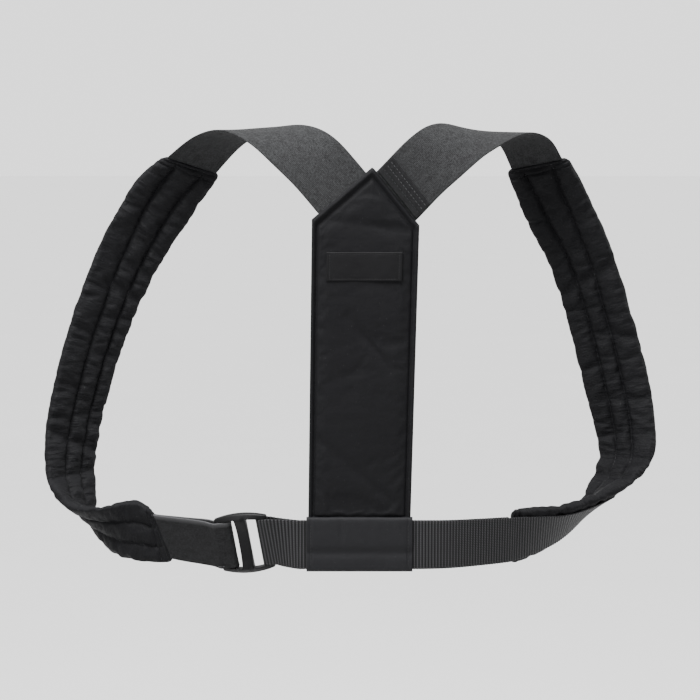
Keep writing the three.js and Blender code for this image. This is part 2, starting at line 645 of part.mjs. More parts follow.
// Middle line from the right pad's end to the sleeve: place: share of the way; front: share of the pad end's
// depth
const tailRows = [
  { place: 0.05, front: 0.9, level: 0.05 },
  { place: 0.33, front: 0.5, level: 0.4 },
  { place: 0.65, front: 0.13, level: 0.75 },
];

function webbingGeometry() {
  const padTo = rightLoop.length;
  const padRows = [0, 0.1, 0.2, 0.3, 0.4, 0.5, 0.6, 0.7, 0.8, 0.9, 0.98].map((share) => {
    const frame = rightLoop.frameAt(padTo - webbingPadRun * (1 - share));
    const centre = frame.centre.clone().addScaledVector(frame.normal, webbingPadLift);
    return { centre, across: frame.across };
  });
  const padEnd = rightLoop.frameAt(padTo);
  const start = padEnd.centre.clone().addScaledVector(padEnd.normal, webbingPadLift - webbingHalfGap);
  const up = point(0, 0, 1);
  const sleeveRight = point(sleeveX + sleeveWidth / 2, beltY, beltZ);
  const sleeveLeft = point(sleeveX - sleeveWidth / 2, beltY, beltZ);
  const freeRows = tailRows.map((row) => ({
    centre: point(
      lerp(start.x, sleeveRight.x, row.place),
      lerp(sleeveRight.y, start.y, row.front),
      lerp(start.z, sleeveRight.z, row.level),
    ),
    across: padEnd.across.clone().lerp(up, row.level).normalize(),
    halfGap: webbingHalfGap,
  }));
  const bar = onBuckle(barOut, 0, 0);
  const radius = buckleThickness / 2 + sewnGap + webbingThickness / 2;
  const barUp = barDown.clone().negate();
  const straightShares = [-0.07, -0.02, 0.12, 0.5, 0.88, 1.02, 1.07];
  const middle = [
    ...freeRows,
    ...straightShares.map((share) => ({
      centre: sleeveRight.clone().lerp(sleeveLeft, share),
      across: up,
      halfGap: webbingHalfGap,
    })),
    {
      centre: sleeveLeft.clone().lerp(bar, 0.65),
      across: up.clone().lerp(barUp, 0.6).normalize(),
      halfGap: lerp(webbingHalfGap, radius, 0.6),
    },
  ];
  const towardBar = point(-1, 0, 0).applyMatrix4(buckleTurn);
  const { outer, arc, inner } = roundBar(middle, bar, barUp, towardBar, webbingThickness);
  const route = makeRoute([...padRows, ...outer, ...arc, ...inner].map((row) => ({ ...row, width: 1 })));
  return strapSolid(route, atRows(route, 8), flatSection(webbingWidth, webbingThickness));
}

// Sleeve: a flat tube of cloth round both layers of webbing
const sleeveCreases = [
  { at: 0.33, depth: 0.5, breadth: 0.03 },
  { at: 0.62, depth: 0.25, breadth: 0.05 },
];

function sleeveGeometry() {
  const up = point(0, 0, 1);
  const end = (side, extra) => ({
    centre: point(sleeveX + side * (sleeveWidth / 2 + extra), beltY, beltZ),
    across: up,
    width: 1,
  });
  const route = makeRoute([end(1, 0), end(-1, 0)]);
  const shares = [-0.5, -0.47, -0.4, -0.2, 0, 0.2, 0.4, 0.47, 0.5];
  const skin = strapSolid(route, evenly(0, route.length, 18), (distance, share) => {
    const crease = sleeveCreases.reduce((sum, row) => sum + row.depth * bell(share - 1 + row.at, row.breadth), 0);
    const half = sleeveDepth / 2;
    const outer = shares.map((place) => {
      const size = Math.abs(place);
      return size === 0.5 ? half * edgeEase : half - (size < 0.45 ? crease : 0);
    });
    const inner = shares.map((place) => -(Math.abs(place) === 0.5 ? half * edgeEase : half));
    return { places: shares.map((place) => place * sleeveHeight), outer, inner };
  });
  const hollowRoute = makeRoute([end(1, 1), end(-1, 1)]);
  const hollow = strapSolid(hollowRoute, [0, hollowRoute.length], () => ({
    places: [-sleeveHollowHeight / 2, sleeveHollowHeight / 2],
    outer: [sleeveHollowDepth / 2, sleeveHollowDepth / 2],
    inner: [-sleeveHollowDepth / 2, -sleeveHollowDepth / 2],
  }));
  return cutAway(skin, hollow);
}

const cloth = { color: 0x1b1b1d, roughness: 0.9, metalness: 0 };
const ribbed = { color: 0x1e1e20, roughness: 0.85, metalness: 0 };
const stretch = { color: 0x35363a, roughness: 0.8, metalness: 0 };
const plastic = { color: 0x17181a, roughness: 0.4, metalness: 0 };
const woven = { color: 0x202022, roughness: 0.6, metalness: 0 };

const harness = new THREE.Group();
const panelPockets = [elasticRoom(leftLoop, leftPadFrom), elasticRoom(rightLoop, rightPadFrom)];
addMesh(harness, "back_panel", cutAway(panelGeometry(), ...panelPockets), cloth);
addMesh(harness, "label_patch", labelGeometry(), woven);
addMesh(harness, "belt_sleeve", sleeveGeometry(), cloth);
addMesh(harness, "shoulder_elastic_left", elasticGeometry(leftLoop, leftPadFrom), stretch);
addMesh(harness, "shoulder_elastic_right", elasticGeometry(rightLoop, rightPadFrom), stretch);
addMesh(harness, "elastic_cuff_right", cuffGeometry(), stretch);
addMesh(harness, "shoulder_pad_left", padLeftGeometry(), cloth);
addMesh(harness, "shoulder_pad_right", padRightGeometry(), cloth);
addMesh(harness, "waist_elastic", waistElasticGeometry(), stretch);
addMesh(harness, "slider_buckle", buckleGeometry(), plastic);
addMesh(harness, "belt_webbing", webbingGeometry(), ribbed);

export default harness;
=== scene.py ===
import bisect
import math
import random

import bmesh
import bpy
from mathutils import Euler, Matrix, Vector, noise


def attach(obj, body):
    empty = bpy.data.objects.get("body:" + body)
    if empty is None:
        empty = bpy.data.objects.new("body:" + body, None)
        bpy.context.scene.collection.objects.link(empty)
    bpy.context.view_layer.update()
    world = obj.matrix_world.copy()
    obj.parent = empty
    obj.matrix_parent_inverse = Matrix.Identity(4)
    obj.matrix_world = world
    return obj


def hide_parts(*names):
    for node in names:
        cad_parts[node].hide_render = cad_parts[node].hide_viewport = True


# Posture corrector in its worn form, in metres. +Z is up, the wearer's back is toward -Y and left is -X.

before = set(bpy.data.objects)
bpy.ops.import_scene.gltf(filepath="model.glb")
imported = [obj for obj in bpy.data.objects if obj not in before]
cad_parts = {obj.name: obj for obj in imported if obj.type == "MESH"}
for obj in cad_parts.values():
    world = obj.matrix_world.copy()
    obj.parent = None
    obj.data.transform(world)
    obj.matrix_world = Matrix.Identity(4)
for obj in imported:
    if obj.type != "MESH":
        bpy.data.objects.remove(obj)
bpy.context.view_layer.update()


# Small helpers

def lerp(a, b, share):
    return a + (b - a) * share


def clamp(value, low=0.0, high=1.0):
    return max(low, min(high, value))


def smoothstep(value, low, high):
    t = clamp((value - low) / (high - low))
    return t * t * (3 - 2 * t)


def bell(distance, breadth):
    return math.exp(-((distance / breadth) ** 2))


def crease(distance, breadth):      # a valley with a sharp bottom and soft shoulders
    return 0.55 * bell(distance, breadth) + 0.45 * math.exp(-abs(distance) / (0.3 * breadth))


def ripple(x, y=0.0, z=0.0):        # smooth seeded waves from -1 to 1
    return noise.noise(Vector((x, y, z)))


def evenly(first, last, steps):
    return [lerp(first, last, i / steps) for i in range(steps + 1)]


# Materials: a wire is a socket that can be used in sums

class Wire:
    def __init__(self, finish, socket):
        self.finish = finish
        self.socket = socket

    def maths(self, operation, first, second=0.0):
        return self.finish.node("ShaderNodeMath", {"operation": operation}, {0: first, 1: second})

    def __add__(self, other):
        return self.maths("ADD", self, other)

    def __radd__(self, other):
        return self.maths("ADD", other, self)

    def __sub__(self, other):
        return self.maths("SUBTRACT", self, other)

    def __mul__(self, other):
        return self.maths("MULTIPLY", self, other)

    def sine(self):
        return self.maths("SINE", self)

    def size(self):
        return self.maths("ABSOLUTE", self)


class Finish:
    def __init__(self, name, specular):
        self.material = bpy.data.materials.new(name)
        self.material.use_nodes = True
        self.tree = self.material.node_tree
        self.shader = self.tree.nodes["Principled BSDF"]
        self.shader.inputs["Specular IOR Level"].default_value = specular

    def plug(self, value, socket):
        if isinstance(value, Wire):
            self.tree.links.new(value.socket, socket)
        else:
            socket.default_value = value

    def node(self, kind, settings=None, inputs=None, output=0):
        made = self.tree.nodes.new(kind)
        for name, value in (settings or {}).items():
            if name == "stops":
                for stop, (position, shade) in zip(made.color_ramp.elements, value):
                    stop.position = position
                    stop.color = (*shade, 1)
            else:
                setattr(made, name, value)
        for name, value in (inputs or {}).items():
            self.plug(value, made.inputs[name])
        return Wire(self, made.outputs[output])

    def clothPlace(self):       # metres across and along the cloth
        uv = self.node("ShaderNodeUVMap", {"uv_map": "weave"})
        across = self.node("ShaderNodeSeparateXYZ", {}, {0: uv})
        along = self.node("ShaderNodeSeparateXYZ", {}, {0: uv}, 1)
        return uv, across, along

    def objectPlace(self):
        return self.node("ShaderNodeTexCoord", {}, {}, 3)

    def cloud(self, place, scale, detail=2.0, stretch=(1, 1, 1)):
        spread = self.node("ShaderNodeMapping", {}, {"Vector": place, "Scale": stretch})
        inputs = {"Vector": spread, "Scale": scale, "Detail": detail, "Roughness": 0.55}
        return self.node("ShaderNodeTexNoise", {}, inputs)

    def ramp(self, value, stops):
        return self.node("ShaderNodeValToRGB", {"stops": stops}, {0: value})

    def blend(self, share, first, second):
        made = self.tree.nodes.new("ShaderNodeMix")
        made.data_type = "RGBA"
        self.plug(share, made.inputs[0])
        for value, socket in ((first, made.inputs[6]), (second, made.inputs[7])):
            self.plug(value if isinstance(value, Wire) else (*value, 1), socket)
        return Wire(self, made.outputs[2])

    def relief(self, height, distance, strength=1.0, under=None):
        inputs = {"Height": height, "Distance": distance, "Strength": strength}
        if under:
            inputs["Normal"] = under
        return self.node("ShaderNodeBump", {}, inputs)

    def wear(self, colour, roughness, normal):
        self.plug(colour, self.shader.inputs["Base Color"])
        self.plug(roughness, self.shader.inputs["Roughness"])
        self.plug(normal, self.shader.inputs["Normal"])
        return self.material


def wovenCloth(name, look):
    cloth = Finish(name, look["specular"])
    uv, across, along = cloth.clothPlace()
    turns = 2 * math.pi / look["thread"]
    weave = (across * turns).sine() * (along * turns).sine()
    slubs = cloth.cloud(uv, 1 / look["thread"], 1, (0.12, 1.2, 1))
    slubs = slubs + cloth.cloud(uv, 1 / look["thread"], 1, (1.2, 0.1, 1))
    crinkle = cloth.cloud(cloth.objectPlace(), look["crinkle"], 3)
    patch = cloth.cloud(cloth.objectPlace(), 14, 2)
    lint = cloth.cloud(uv, 900, 1, (1, 0.35, 1))
    fibres = cloth.ramp(lint, [(0.72, (0, 0, 0)), (0.8, look["lint"])])
    tone = cloth.blend(patch, look["dark"], look["light"])
    threads = cloth.blend(weave * 0.25 + slubs * 0.3, tone, look["thread colour"])
    adding = {"data_type": "RGBA", "blend_type": "ADD"}
    colour = cloth.node("ShaderNodeMix", adding, {0: 1.0, 6: threads, 7: fibres}, 2)
    rough = look["roughness"] + crinkle * 0.12 - weave * 0.04
    gathers = cloth.cloud(uv, look["gathers"], 3, (0.3, 1, 1))
    soft = cloth.relief(crinkle, 0.0012, look["crinkle strength"])
    gathered = cloth.relief(gathers, 0.0035, look["gather strength"], soft)
    fine = cloth.relief(weave * 0.5 + slubs * 0.4, look["thread"] * 0.4, 0.35, gathered)
    return cloth.wear(colour, rough, fine)


def stretchWeave(name, look):
    band = Finish(name, look["specular"])
    uv, across, along = band.clothPlace()
    ribs = (across * (2 * math.pi / look["rib"])).sine()
    rows = (along * (2 * math.pi / look["row"]) + ribs * 1.3).sine()
    heather = band.cloud(uv, 1 / look["heather"], 2, (1, 0.6, 1))
    coarse = band.cloud(uv, 260, 2, (1, 0.4, 1))
    mix = heather * 0.75 + coarse * 0.35 + rows * 0.06 + ribs * 0.05
    flecked = band.ramp(mix, [(look["from"], look["dark"]), (look["to"], look["light"])])
    # a flat colour on one edge: a painted highlight along the waist elastic's top edge, a darker line on the
    # shoulder elastic and cuff
    shade = [(look["edge"] - 0.0004, (0, 0, 0)), (look["edge"], (1, 1, 1))]
    onEdge = band.ramp(across * look["edge side"], shade)
    colour = band.blend(onEdge, flecked, look["edge line and highlight colour"])
    rough = look["roughness"] + heather * 0.15
    soft = band.relief(coarse, 0.0004, 0.4)
    fine = band.relief(ribs * 0.35 + rows * 0.35 + heather * 0.8, 0.0003, look["relief"], soft)
    return band.wear(colour, rough, fine)


def ribbedWeave(name, look):
    band = Finish(name, look["specular"])
    uv, across, along = band.clothPlace()
    rib = along * (math.pi / look["rib"])
    crest = rib.sine().size()
    dots = (across * (2 * math.pi / look["bead"]) + rib * 2).sine()
    fuzz = band.cloud(uv, 1500, 2, (0.4, 1, 1))
    patch = band.cloud(band.objectPlace(), 20, 2)
    tone = band.blend(patch, look["dark"], look["light"])
    # pale dots on the rib crests, laid out in the twill's dot pattern, are painted glints
    colour = band.blend(crest * crest * (dots * 0.42 + 0.48) + fuzz * 0.3 - 0.18, tone, look["crest glint colour"])
    rough = look["roughness"] + fuzz * 0.15 - crest * 0.06
    fine = band.relief(dots * 0.4 + fuzz * 0.6, 0.0003, 0.6)
    return band.wear(colour, rough, fine)


def mouldedPlastic(name, look):
    plastic = Finish(name, look["specular"])
    place = plastic.objectPlace()
    grain = plastic.cloud(place, 2600, 2)
    flow = plastic.cloud(place, 60, 3, (1, 1, 0.4))
    scuffs = plastic.cloud(place, 420, 4, (1, 0.2, 3))
    rubbed = plastic.ramp(scuffs, [(0.6, (0, 0, 0)), (0.78, (1, 1, 1))])
    colour = plastic.blend(rubbed, look["dark"], look["rubbed"])
    rough = look["roughness"] + flow * 0.16 + scuffs * 0.1
    normal = plastic.relief(grain * 0.7 + flow * 0.5, 0.0001, 0.35)
    return plastic.wear(colour, rough, normal)


def sewingThread(name, look):
    thread = Finish(name, look["specular"])
    place = thread.objectPlace()
    twist = thread.cloud(place, 2400, 2, (1, 1, 1))
    colour = thread.blend(twist, look["dark"], look["light"])
    return thread.wear(colour, look["roughness"] + twist * 0.2, thread.relief(twist, 0.0002, 0.6))


sewnCloth = {"thread": 0.00042, "roughness": 0.6, "specular": 0.04, "lint": (0.01, 0.01, 0.01)}
knitBand = {"rib": 0.0011, "row": 0.0009, "heather": 0.0011, "roughness": 0.75, "relief": 0.7, "edge side": 1}

finishes = {
    "panel": wovenCloth("panelCloth", {
        **sewnCloth, "crinkle": 95, "crinkle strength": 0.5, "gathers": 60, "gather strength": 0.2,
        "dark": (0.002, 0.002, 0.0023), "light": (0.0034, 0.0034, 0.0038),
        "thread colour": (0.0054, 0.0054, 0.006),
    }),
    # the sleeve is the panel's own cloth in lighter colours: painted light on its bulging front
    "sleeve": wovenCloth("sleeveClothPaintedLighter", {
        **sewnCloth, "crinkle": 80, "crinkle strength": 0.5, "gathers": 50, "gather strength": 0.2,
        "roughness": 0.55, "specular": 0.06, "dark": (0.0034, 0.0034, 0.0038),
        "light": (0.0058, 0.0058, 0.0065), "thread colour": (0.0086, 0.0086, 0.0096),
    }),
    "pad": wovenCloth("padCloth", {
        **sewnCloth, "crinkle": 120, "crinkle strength": 0.7, "gathers": 130, "gather strength": 0.85,
        "dark": (0.0018, 0.0018, 0.0021), "light": (0.0034, 0.0034, 0.0038),
        "thread colour": (0.0058, 0.0058, 0.0064),
    }),
    "elastic": stretchWeave("elasticWeave", {
        **knitBand, "from": 0.4, "to": 0.76, "specular": 0.08, "relief": 0.8, "edge": 0.0242,
        "dark": (0.004, 0.004, 0.0042), "light": (0.0165, 0.017, 0.0176),
        "edge line and highlight colour": (0.009, 0.009, 0.0094),
    }),
    "cuff": stretchWeave("cuffWeave", {
        **knitBand, "from": 0.4, "to": 0.78, "specular": 0.06, "edge": 0.0236,
        "dark": (0.0024, 0.0024, 0.0026), "light": (0.0082, 0.0084, 0.0088),
        "edge line and highlight colour": (0.005, 0.005, 0.0052),
    }),
    "waist": stretchWeave("waistElasticWeave", {
        **knitBand, "from": 0.42, "to": 0.78, "specular": 0.07, "edge side": -1, "edge": 0.0189,
        "dark": (0.003, 0.003, 0.0032), "light": (0.0105, 0.0107, 0.0112),
        # the pale edge colour here is a painted highlight along the band's top edge
        "edge line and highlight colour": (0.03, 0.03, 0.0312),
    }),
    "webbing": ribbedWeave("webbingWeave", {
        "rib": 0.00255, "bead": 0.0015, "roughness": 0.55, "specular": 0.08,
        "dark": (0.0012, 0.0012, 0.0014), "light": (0.002, 0.002, 0.0022),
        # the pale crest colour paints glints on the rib crests
        "crest glint colour": (0.036, 0.036, 0.0378),
    }),
    "label": wovenCloth("labelWeave", {
        **sewnCloth, "thread": 0.0005, "crinkle": 60, "crinkle strength": 0.3, "gathers": 60,
        "gather strength": 0.1, "roughness": 0.5, "specular": 0.06, "lint": (0.006, 0.006, 0.006),
        "dark": (0.0014, 0.0014, 0.0016), "light": (0.0022, 0.0022, 0.0025),
        "thread colour": (0.0036, 0.0036, 0.004),
    }),
    "plastic": mouldedPlastic("bucklePlastic", {
        "roughness": 0.34, "specular": 0.08, "dark": (0.0014, 0.0014, 0.0016),
        "rubbed": (0.004, 0.004, 0.0042),
    }),
    "thread": sewingThread("seamThread", {
        "roughness": 0.5, "specular": 0.12, "dark": (0.004, 0.004, 0.0044), "light": (0.02, 0.02, 0.0212),
    }),
    "paleThread": sewingThread("barTackThread", {
        "roughness": 0.55, "specular": 0.12, "dark": (0.014, 0.014, 0.0146), "light": (0.05, 0.05, 0.052),
    }),
}


# Pieces

def weaveLayers(mesh):      # where each point is on the cloth, and how firmly it is sewn down
    return [mesh.verts.layers.float.new(name) for name in ("across", "along", "sewn")]


def writeWeave(mesh, layers):       # the weave map is in metres across and along the cloth
    weave = mesh.loops.layers.uv.new("weave")
    for face in mesh.faces:
        for loop in face.loops:
            loop[weave].uv = (loop.vert[layers[0]], loop.vert[layers[1]])


def soften(piece, levels):
    soft = piece.modifiers.new("soft", "SUBSURF")
    soft.levels = levels
    soft.render_levels = levels


def settleCloth(piece, look):       # the cloth swells between its sewn lines, and each move is capped
    data = piece.data
    sewn = piece.vertex_groups.new(name="sewn")
    for index, mark in enumerate(data.attributes["sewn"].data):
        if mark.value > 0.01:
            sewn.add([index], mark.value, "REPLACE")
    modifier = piece.modifiers.new("cloth", "CLOTH")
    modifier.collision_settings.use_collision = False
    modifier.point_cache.frame_start = 1
    modifier.point_cache.frame_end = look["frames"]
    cloth = modifier.settings
    cloth.quality = look["quality"]
    cloth.mass = look["mass"]
    cloth.tension_stiffness = look["stretch"]
    cloth.compression_stiffness = look["stretch"]
    cloth.shear_stiffness = look["shear"]
    cloth.bending_stiffness = look["bending"]
    cloth.use_pressure = True
    cloth.uniform_pressure_force = look["pressure"]
    cloth.shrink_min = -look["ease"]
    cloth.vertex_group_mass = "sewn"
    cloth.effector_weights.gravity = 0
    scene = bpy.context.scene
    for number in range(1, look["frames"] + 1):
        scene.frame_set(number)
    shaped = piece.evaluated_get(bpy.context.evaluated_depsgraph_get())
    moves = [after.co - before.co for before, after in zip(data.vertices, shaped.data.vertices)]
    piece.modifiers.remove(modifier)
    for vert, move in zip(data.vertices, moves):
        if move.length > 1e-7:
            vert.co += move.normalized() * look["cap"] * math.tanh(move.length / look["cap"])
    lengths = sorted(move.length for move in moves)
    print("settled", piece.name, round(lengths[len(lengths) // 2], 5), round(lengths[-1], 5))
    scene.frame_set(1)


def finishPiece(name, mesh, finish, replaces=(), subdivide=0, weld=1e-6):
    bmesh.ops.remove_doubles(mesh, verts=mesh.verts[:], dist=weld)
    bmesh.ops.recalc_face_normals(mesh, faces=mesh.faces[:])
    data = bpy.data.meshes.new(name)
    mesh.to_mesh(data)
    mesh.free()
    piece = bpy.data.objects.new(name, data)
    bpy.context.scene.collection.objects.link(piece)
    for face in data.polygons:
        face.use_smooth = True
    data.materials.append(finishes[finish])
    if subdivide:
        soften(piece, subdivide)
    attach(piece, "root")
    if replaces:
        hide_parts(*replaces)
    return piece


# Routes: a smooth line through rows of centres and directions across, with the strap's own axes along it

def splineAt(points, share, pace):      # Catmull-Rom: pace 0.25 is centripetal and 0 is uniform
    last = len(points) - 2
    place = clamp(share) * (last + 1)
    i = min(int(place), last)
    t = place - i
    b, c = points[i], points[i + 1]
    a = points[i - 1] if i > 0 else b * 2 - c
    d = points[i + 2] if i < last else c * 2 - b
    gaps = [max((q - p).length_squared, 1e-12) ** pace for p, q in ((a, b), (b, c), (c, d))]
    slopeB = ((b - a) / gaps[0] - (c - a) / (gaps[0] + gaps[1]) + (c - b) / gaps[1]) * gaps[1]
    slopeC = ((c - b) / gaps[1] - (d - b) / (gaps[1] + gaps[2]) + (d - c) / gaps[2]) * gaps[1]
    bend = (c - b) * 3 - slopeB * 2 - slopeC
    twist = (b - c) * 2 + slopeB + slopeC
    return b + slopeB * t + bend * t ** 2 + twist * t ** 3, slopeB + bend * (2 * t) + twist * (3 * t ** 2)


class Station:
    def __init__(self, centre, along, across, distance=0.0, share=0.0, column=None):
        self.centre = centre
        self.along = along.normalized()
        self.across = across.normalized()
        self.normal = self.across.cross(self.along).normalized()
        self.distance = distance
        self.share = share
        self.column = column

    def point(self, place, height):
        return self.centre + self.across * place + self.normal * height


class Route:
    samplesPerRow = 24

    def __init__(self, rows):
        self.rows = rows
        self.centres = [row["centre"] for row in rows]
        self.acrosses = [row["across"] for row in rows]
        count = (len(rows) - 1) * self.samplesPerRow
        path = [splineAt(self.centres, i / count, 0.25)[0] for i in range(count + 1)]
        self.distances = [0.0]
        for before, after in zip(path, path[1:]):
            self.distances.append(self.distances[-1] + (after - before).length)
        self.length = self.distances[-1]

    def distanceOfRow(self, index):
        return self.distances[index * self.samplesPerRow]

    def at(self, distance, first=0.0, last=None):
        i = clamp(bisect.bisect_left(self.distances, distance), 1, len(self.distances) - 1)
        step = (distance - self.distances[i - 1]) / (self.distances[i] - self.distances[i - 1])
        share = clamp((i - 1 + step) / (len(self.distances) - 1))
        centre, along = splineAt(self.centres, share, 0.25)
        across = splineAt(self.acrosses, share, 0)[0]
        place = share * (len(self.rows) - 1)
        row = min(int(place), len(self.rows) - 2)
        ease = smoothstep(place - row, 0, 1)

        def column(name):
            return lerp(self.rows[row][name], self.rows[row + 1][name], ease)

        span = (last or self.length) - first
        return Station(centre, along, across, distance, (distance - first) / span, column)

    def stations(self, first, last, pitch):
        steps = max(round((last - first) / pitch), 2)
        return [self.at(distance, first, last) for distance in evenly(first, last, steps)]


# A band is a grid whose columns go round the section and whose rows go along the stations. Its first and last
# columns meet, so that merging them closes it into a tube.
def rolledBand(stations, ring, closeEnds=True):
    rings = [ring(station) for station in stations]
    columns = len(rings[0])
    mesh = bmesh.new()
    bmesh.ops.create_grid(mesh, x_segments=columns, y_segments=len(stations) - 1, size=0.5)
    mesh.verts.ensure_lookup_table()
    layers = weaveLayers(mesh)
    for index, vert in enumerate(mesh.verts):
        row, column = divmod(index, columns + 1)
        place, height, *sewn = rings[row][column % columns]
        vert.co = stations[row].point(place, height)
        vert[layers[2]] = sewn[0] if sewn else 0
        vert[layers[0]] = place
        vert[layers[1]] = stations[row].distance
    bmesh.ops.remove_doubles(mesh, verts=mesh.verts[:], dist=1e-6)
    if closeEnds:
        rims = [edge for edge in mesh.edges if edge.is_boundary]
        bmesh.ops.holes_fill(mesh, edges=rims, sides=0)
    writeWeave(mesh, layers)
    return mesh


edgeRounding = [(0, 0), (0.1, 0.3), (0.3, 0.45), (0.7, 0.5)]    # in from the edge and up, in thicknesses


def strapRing(width, thickness, inner=10, lift=0.0):
    left = [(-width / 2 + run * thickness, rise * thickness) for run, rise in edgeRounding]
    last = edgeRounding[-1][0] * thickness
    middle = [(place, thickness / 2) for place in evenly(-width / 2 + last, width / 2 - last, inner)[1:-1]]
    top = left + middle + [(-place, height) for place, height in reversed(left)]
    under = [(place, -height) for place, height in reversed(top[1:-1])]
    return [(place, height + lift) for place, height in top + under]


# Stitches: one bead of thread for each, laid along a path of points with their outward directions

def stitches(name, paths, look, finish="thread"):
    mesh = bmesh.new()
    for path in paths:
        lengths = [0.0]
        for before, after in zip(path, path[1:]):
            lengths.append(lengths[-1] + (after[0] - before[0]).length)
        count = int(lengths[-1] / look["pitch"])
        spare = (lengths[-1] - count * look["pitch"]) / 2
        for i in range(count):
            middle = spare + (i + 0.5) * look["pitch"]
            step = clamp(bisect.bisect_left(lengths, middle), 1, len(lengths) - 1)
            (start, up), (end, nextUp) = path[step - 1], path[step]
            share = (middle - lengths[step - 1]) / max(lengths[step] - lengths[step - 1], 1e-9)
            along = (end - start).normalized()
            side = along.cross(up.lerp(nextUp, share)).normalized()
            out = side.cross(along).normalized()
            centre = start.lerp(end, share) + out * look["lift"]
            sizes = (side * look["width"], out * look["width"] * 0.8, along * look["length"])
            axes = Matrix(sizes).transposed()
            place = Matrix.Translation(centre) @ axes.to_4x4()
            bmesh.ops.create_uvsphere(mesh, u_segments=6, v_segments=4, radius=0.5, matrix=place)
    return finishPiece(name, mesh, finish, weld=1e-7)


# Back panel: u runs from its left side to its right, v from its foot to its V-shaped top

panel = {
    "height": 0.281, "shoulderWidth": 0.0855, "footWidth": 0.0825, "peakRise": 0.044, "peakShift": 0.0055,
    "slump": 0.0024, "lean": 0.0048, "footX": -0.0032, "thickness": 0.0046, "puff": 0.0009,
    "rim": 0.0030, "roll": 0.0019, "rimBulge": 0.0008, "groove": 0.0044, "grooveDepth": 0.0019,
    "grooveBreadth": 0.0010, "pitch": 0.0018, "roofRim": 1.35, "footRim": 5, "footLap": 0.0013,
    "lapRun": 0.003, "fillRun": 0.015, "sewnTo": 0.00968, "pucker": 0.0004, "puckerPace": 130,
    "puckerInset": 0.00704, "wave": 0.0007, "wavePace": (24, 18), "creaseInset": 0.006,
    "innerGroove": 0.0006, "innerBreadth": 0.0009,
    "creases": [
        {"fromAcross": 0.36, "fromUp": 0.61, "toAcross": 0.76, "toUp": 0.46, "depth": 0.8, "breadth": 0.05},
        {"fromAcross": 0.1, "fromUp": 0.25, "toAcross": 0.82, "toUp": 0.05, "depth": 0.8, "breadth": 0.05},
        {"fromAcross": 0.1, "fromUp": 0.97, "toAcross": 0.92, "toUp": 0.95, "depth": 0.6, "breadth": 0.06},
    ],
}
panelSettle = {
    "frames": 16, "quality": 5, "mass": 0.01, "stretch": 8, "shear": 3, "bending": 0.15, "pressure": 0.6,
    "ease": 0.012, "cap": 0.0007,
}
footZ = -panel["height"] / 2
peakZ = panel["height"] / 2
shoulderZ = peakZ - panel["peakRise"]
peakShare = 0.5 + panel["peakShift"] / panel["shoulderWidth"]


def panelRoof(u):
    if u < peakShare:
        return lerp(shoulderZ + panel["slump"], peakZ, u / peakShare)
    return lerp(peakZ, shoulderZ - panel["slump"], (u - peakShare) / (1 - peakShare))


def panelXZ(u, v):
    width = lerp(panel["footWidth"], panel["shoulderWidth"], v)
    return panel["footX"] + panel["lean"] * v + (u - 0.5) * width, lerp(footZ, panelRoof(u), v)


def panelEdge(u, z):        # how far inside the outline a point lies
    slope = math.cos(math.atan2(panel["peakRise"], panel["shoulderWidth"] / 2))
    sides = (u * panel["shoulderWidth"], (1 - u) * panel["shoulderWidth"])
    foot = (z - footZ) * panel["footRim"]
    roof = (panelRoof(u) - z) * slope / panel["roofRim"]
    return max(min(*sides, foot, roof), 0)


def panelCreases(x, z):
    total = 0
    for row in panel["creases"]:
        fromX, fromZ = panelXZ(row["fromAcross"], row["fromUp"])
        toX, toZ = panelXZ(row["toAcross"], row["toUp"])
        length = math.hypot(toX - fromX, toZ - fromZ)
        t = clamp(((x - fromX) * (toX - fromX) + (z - fromZ) * (toZ - fromZ)) / length ** 2)
        away = math.hypot(x - lerp(fromX, toX, t), z - lerp(fromZ, toZ, t))
        total += row["depth"] * panel["puff"] * bell(away, row["breadth"] * panel["shoulderWidth"])
    return total


def rolledEdge(edge, roll):     # 0 at the edge to 1 where the roll ends
    return math.sqrt(max(1 - (1 - clamp(edge / roll)) ** 2, 0))


def panelFaceY(u, v):
    x, z = panelXZ(u, v)
    edge = panelEdge(u, z)
    half = panel["thickness"] / 2
    y = -(half + half * rolledEdge(edge, panel["roll"]))
    if edge < panel["rim"]:
        y -= panel["rimBulge"] * math.sin(math.pi * edge / panel["rim"])
    groove = panel["grooveDepth"] * bell(edge - panel["groove"], panel["grooveBreadth"])
    fill = smoothstep(edge, panel["rim"], panel["fillRun"])
    pucker = panel["pucker"] * ripple(x * panel["puckerPace"], z * panel["puckerPace"], 3)
    pucker *= bell(edge - panel["puckerInset"], panel["groove"])
    wave = panel["wave"] * ripple(x * panel["wavePace"][0], z * panel["wavePace"][1], 8) * fill
    creased = panelCreases(x, z) * smoothstep(edge, 0, panel["creaseInset"])
    return y - panel["puff"] * fill + groove + pucker + wave + creased


def panelBackY(u, v):
    x, z = panelXZ(u, v)
    edge = panelEdge(u, z)
    half = panel["thickness"] / 2
    groove = panel["innerGroove"] * bell(edge - panel["groove"], panel["innerBreadth"])
    return -half + half * rolledEdge(edge, panel["roll"]) - groove


edgeRows = (0, 0.0003, 0.0009, 0.0018, 0.003, 0.0038, 0.0046, 0.0054, 0.0064)


def crowded(span, pitch):       # shares along a span, closer together near both ends
    ends = [inset / span for inset in edgeRows]
    steps = round(span * (1 - 2 * ends[-1]) / pitch)
    mirrored = [1 - share for share in reversed(ends[:-1])]
    return ends[:-1] + evenly(ends[-1], 1 - ends[-1], steps) + mirrored


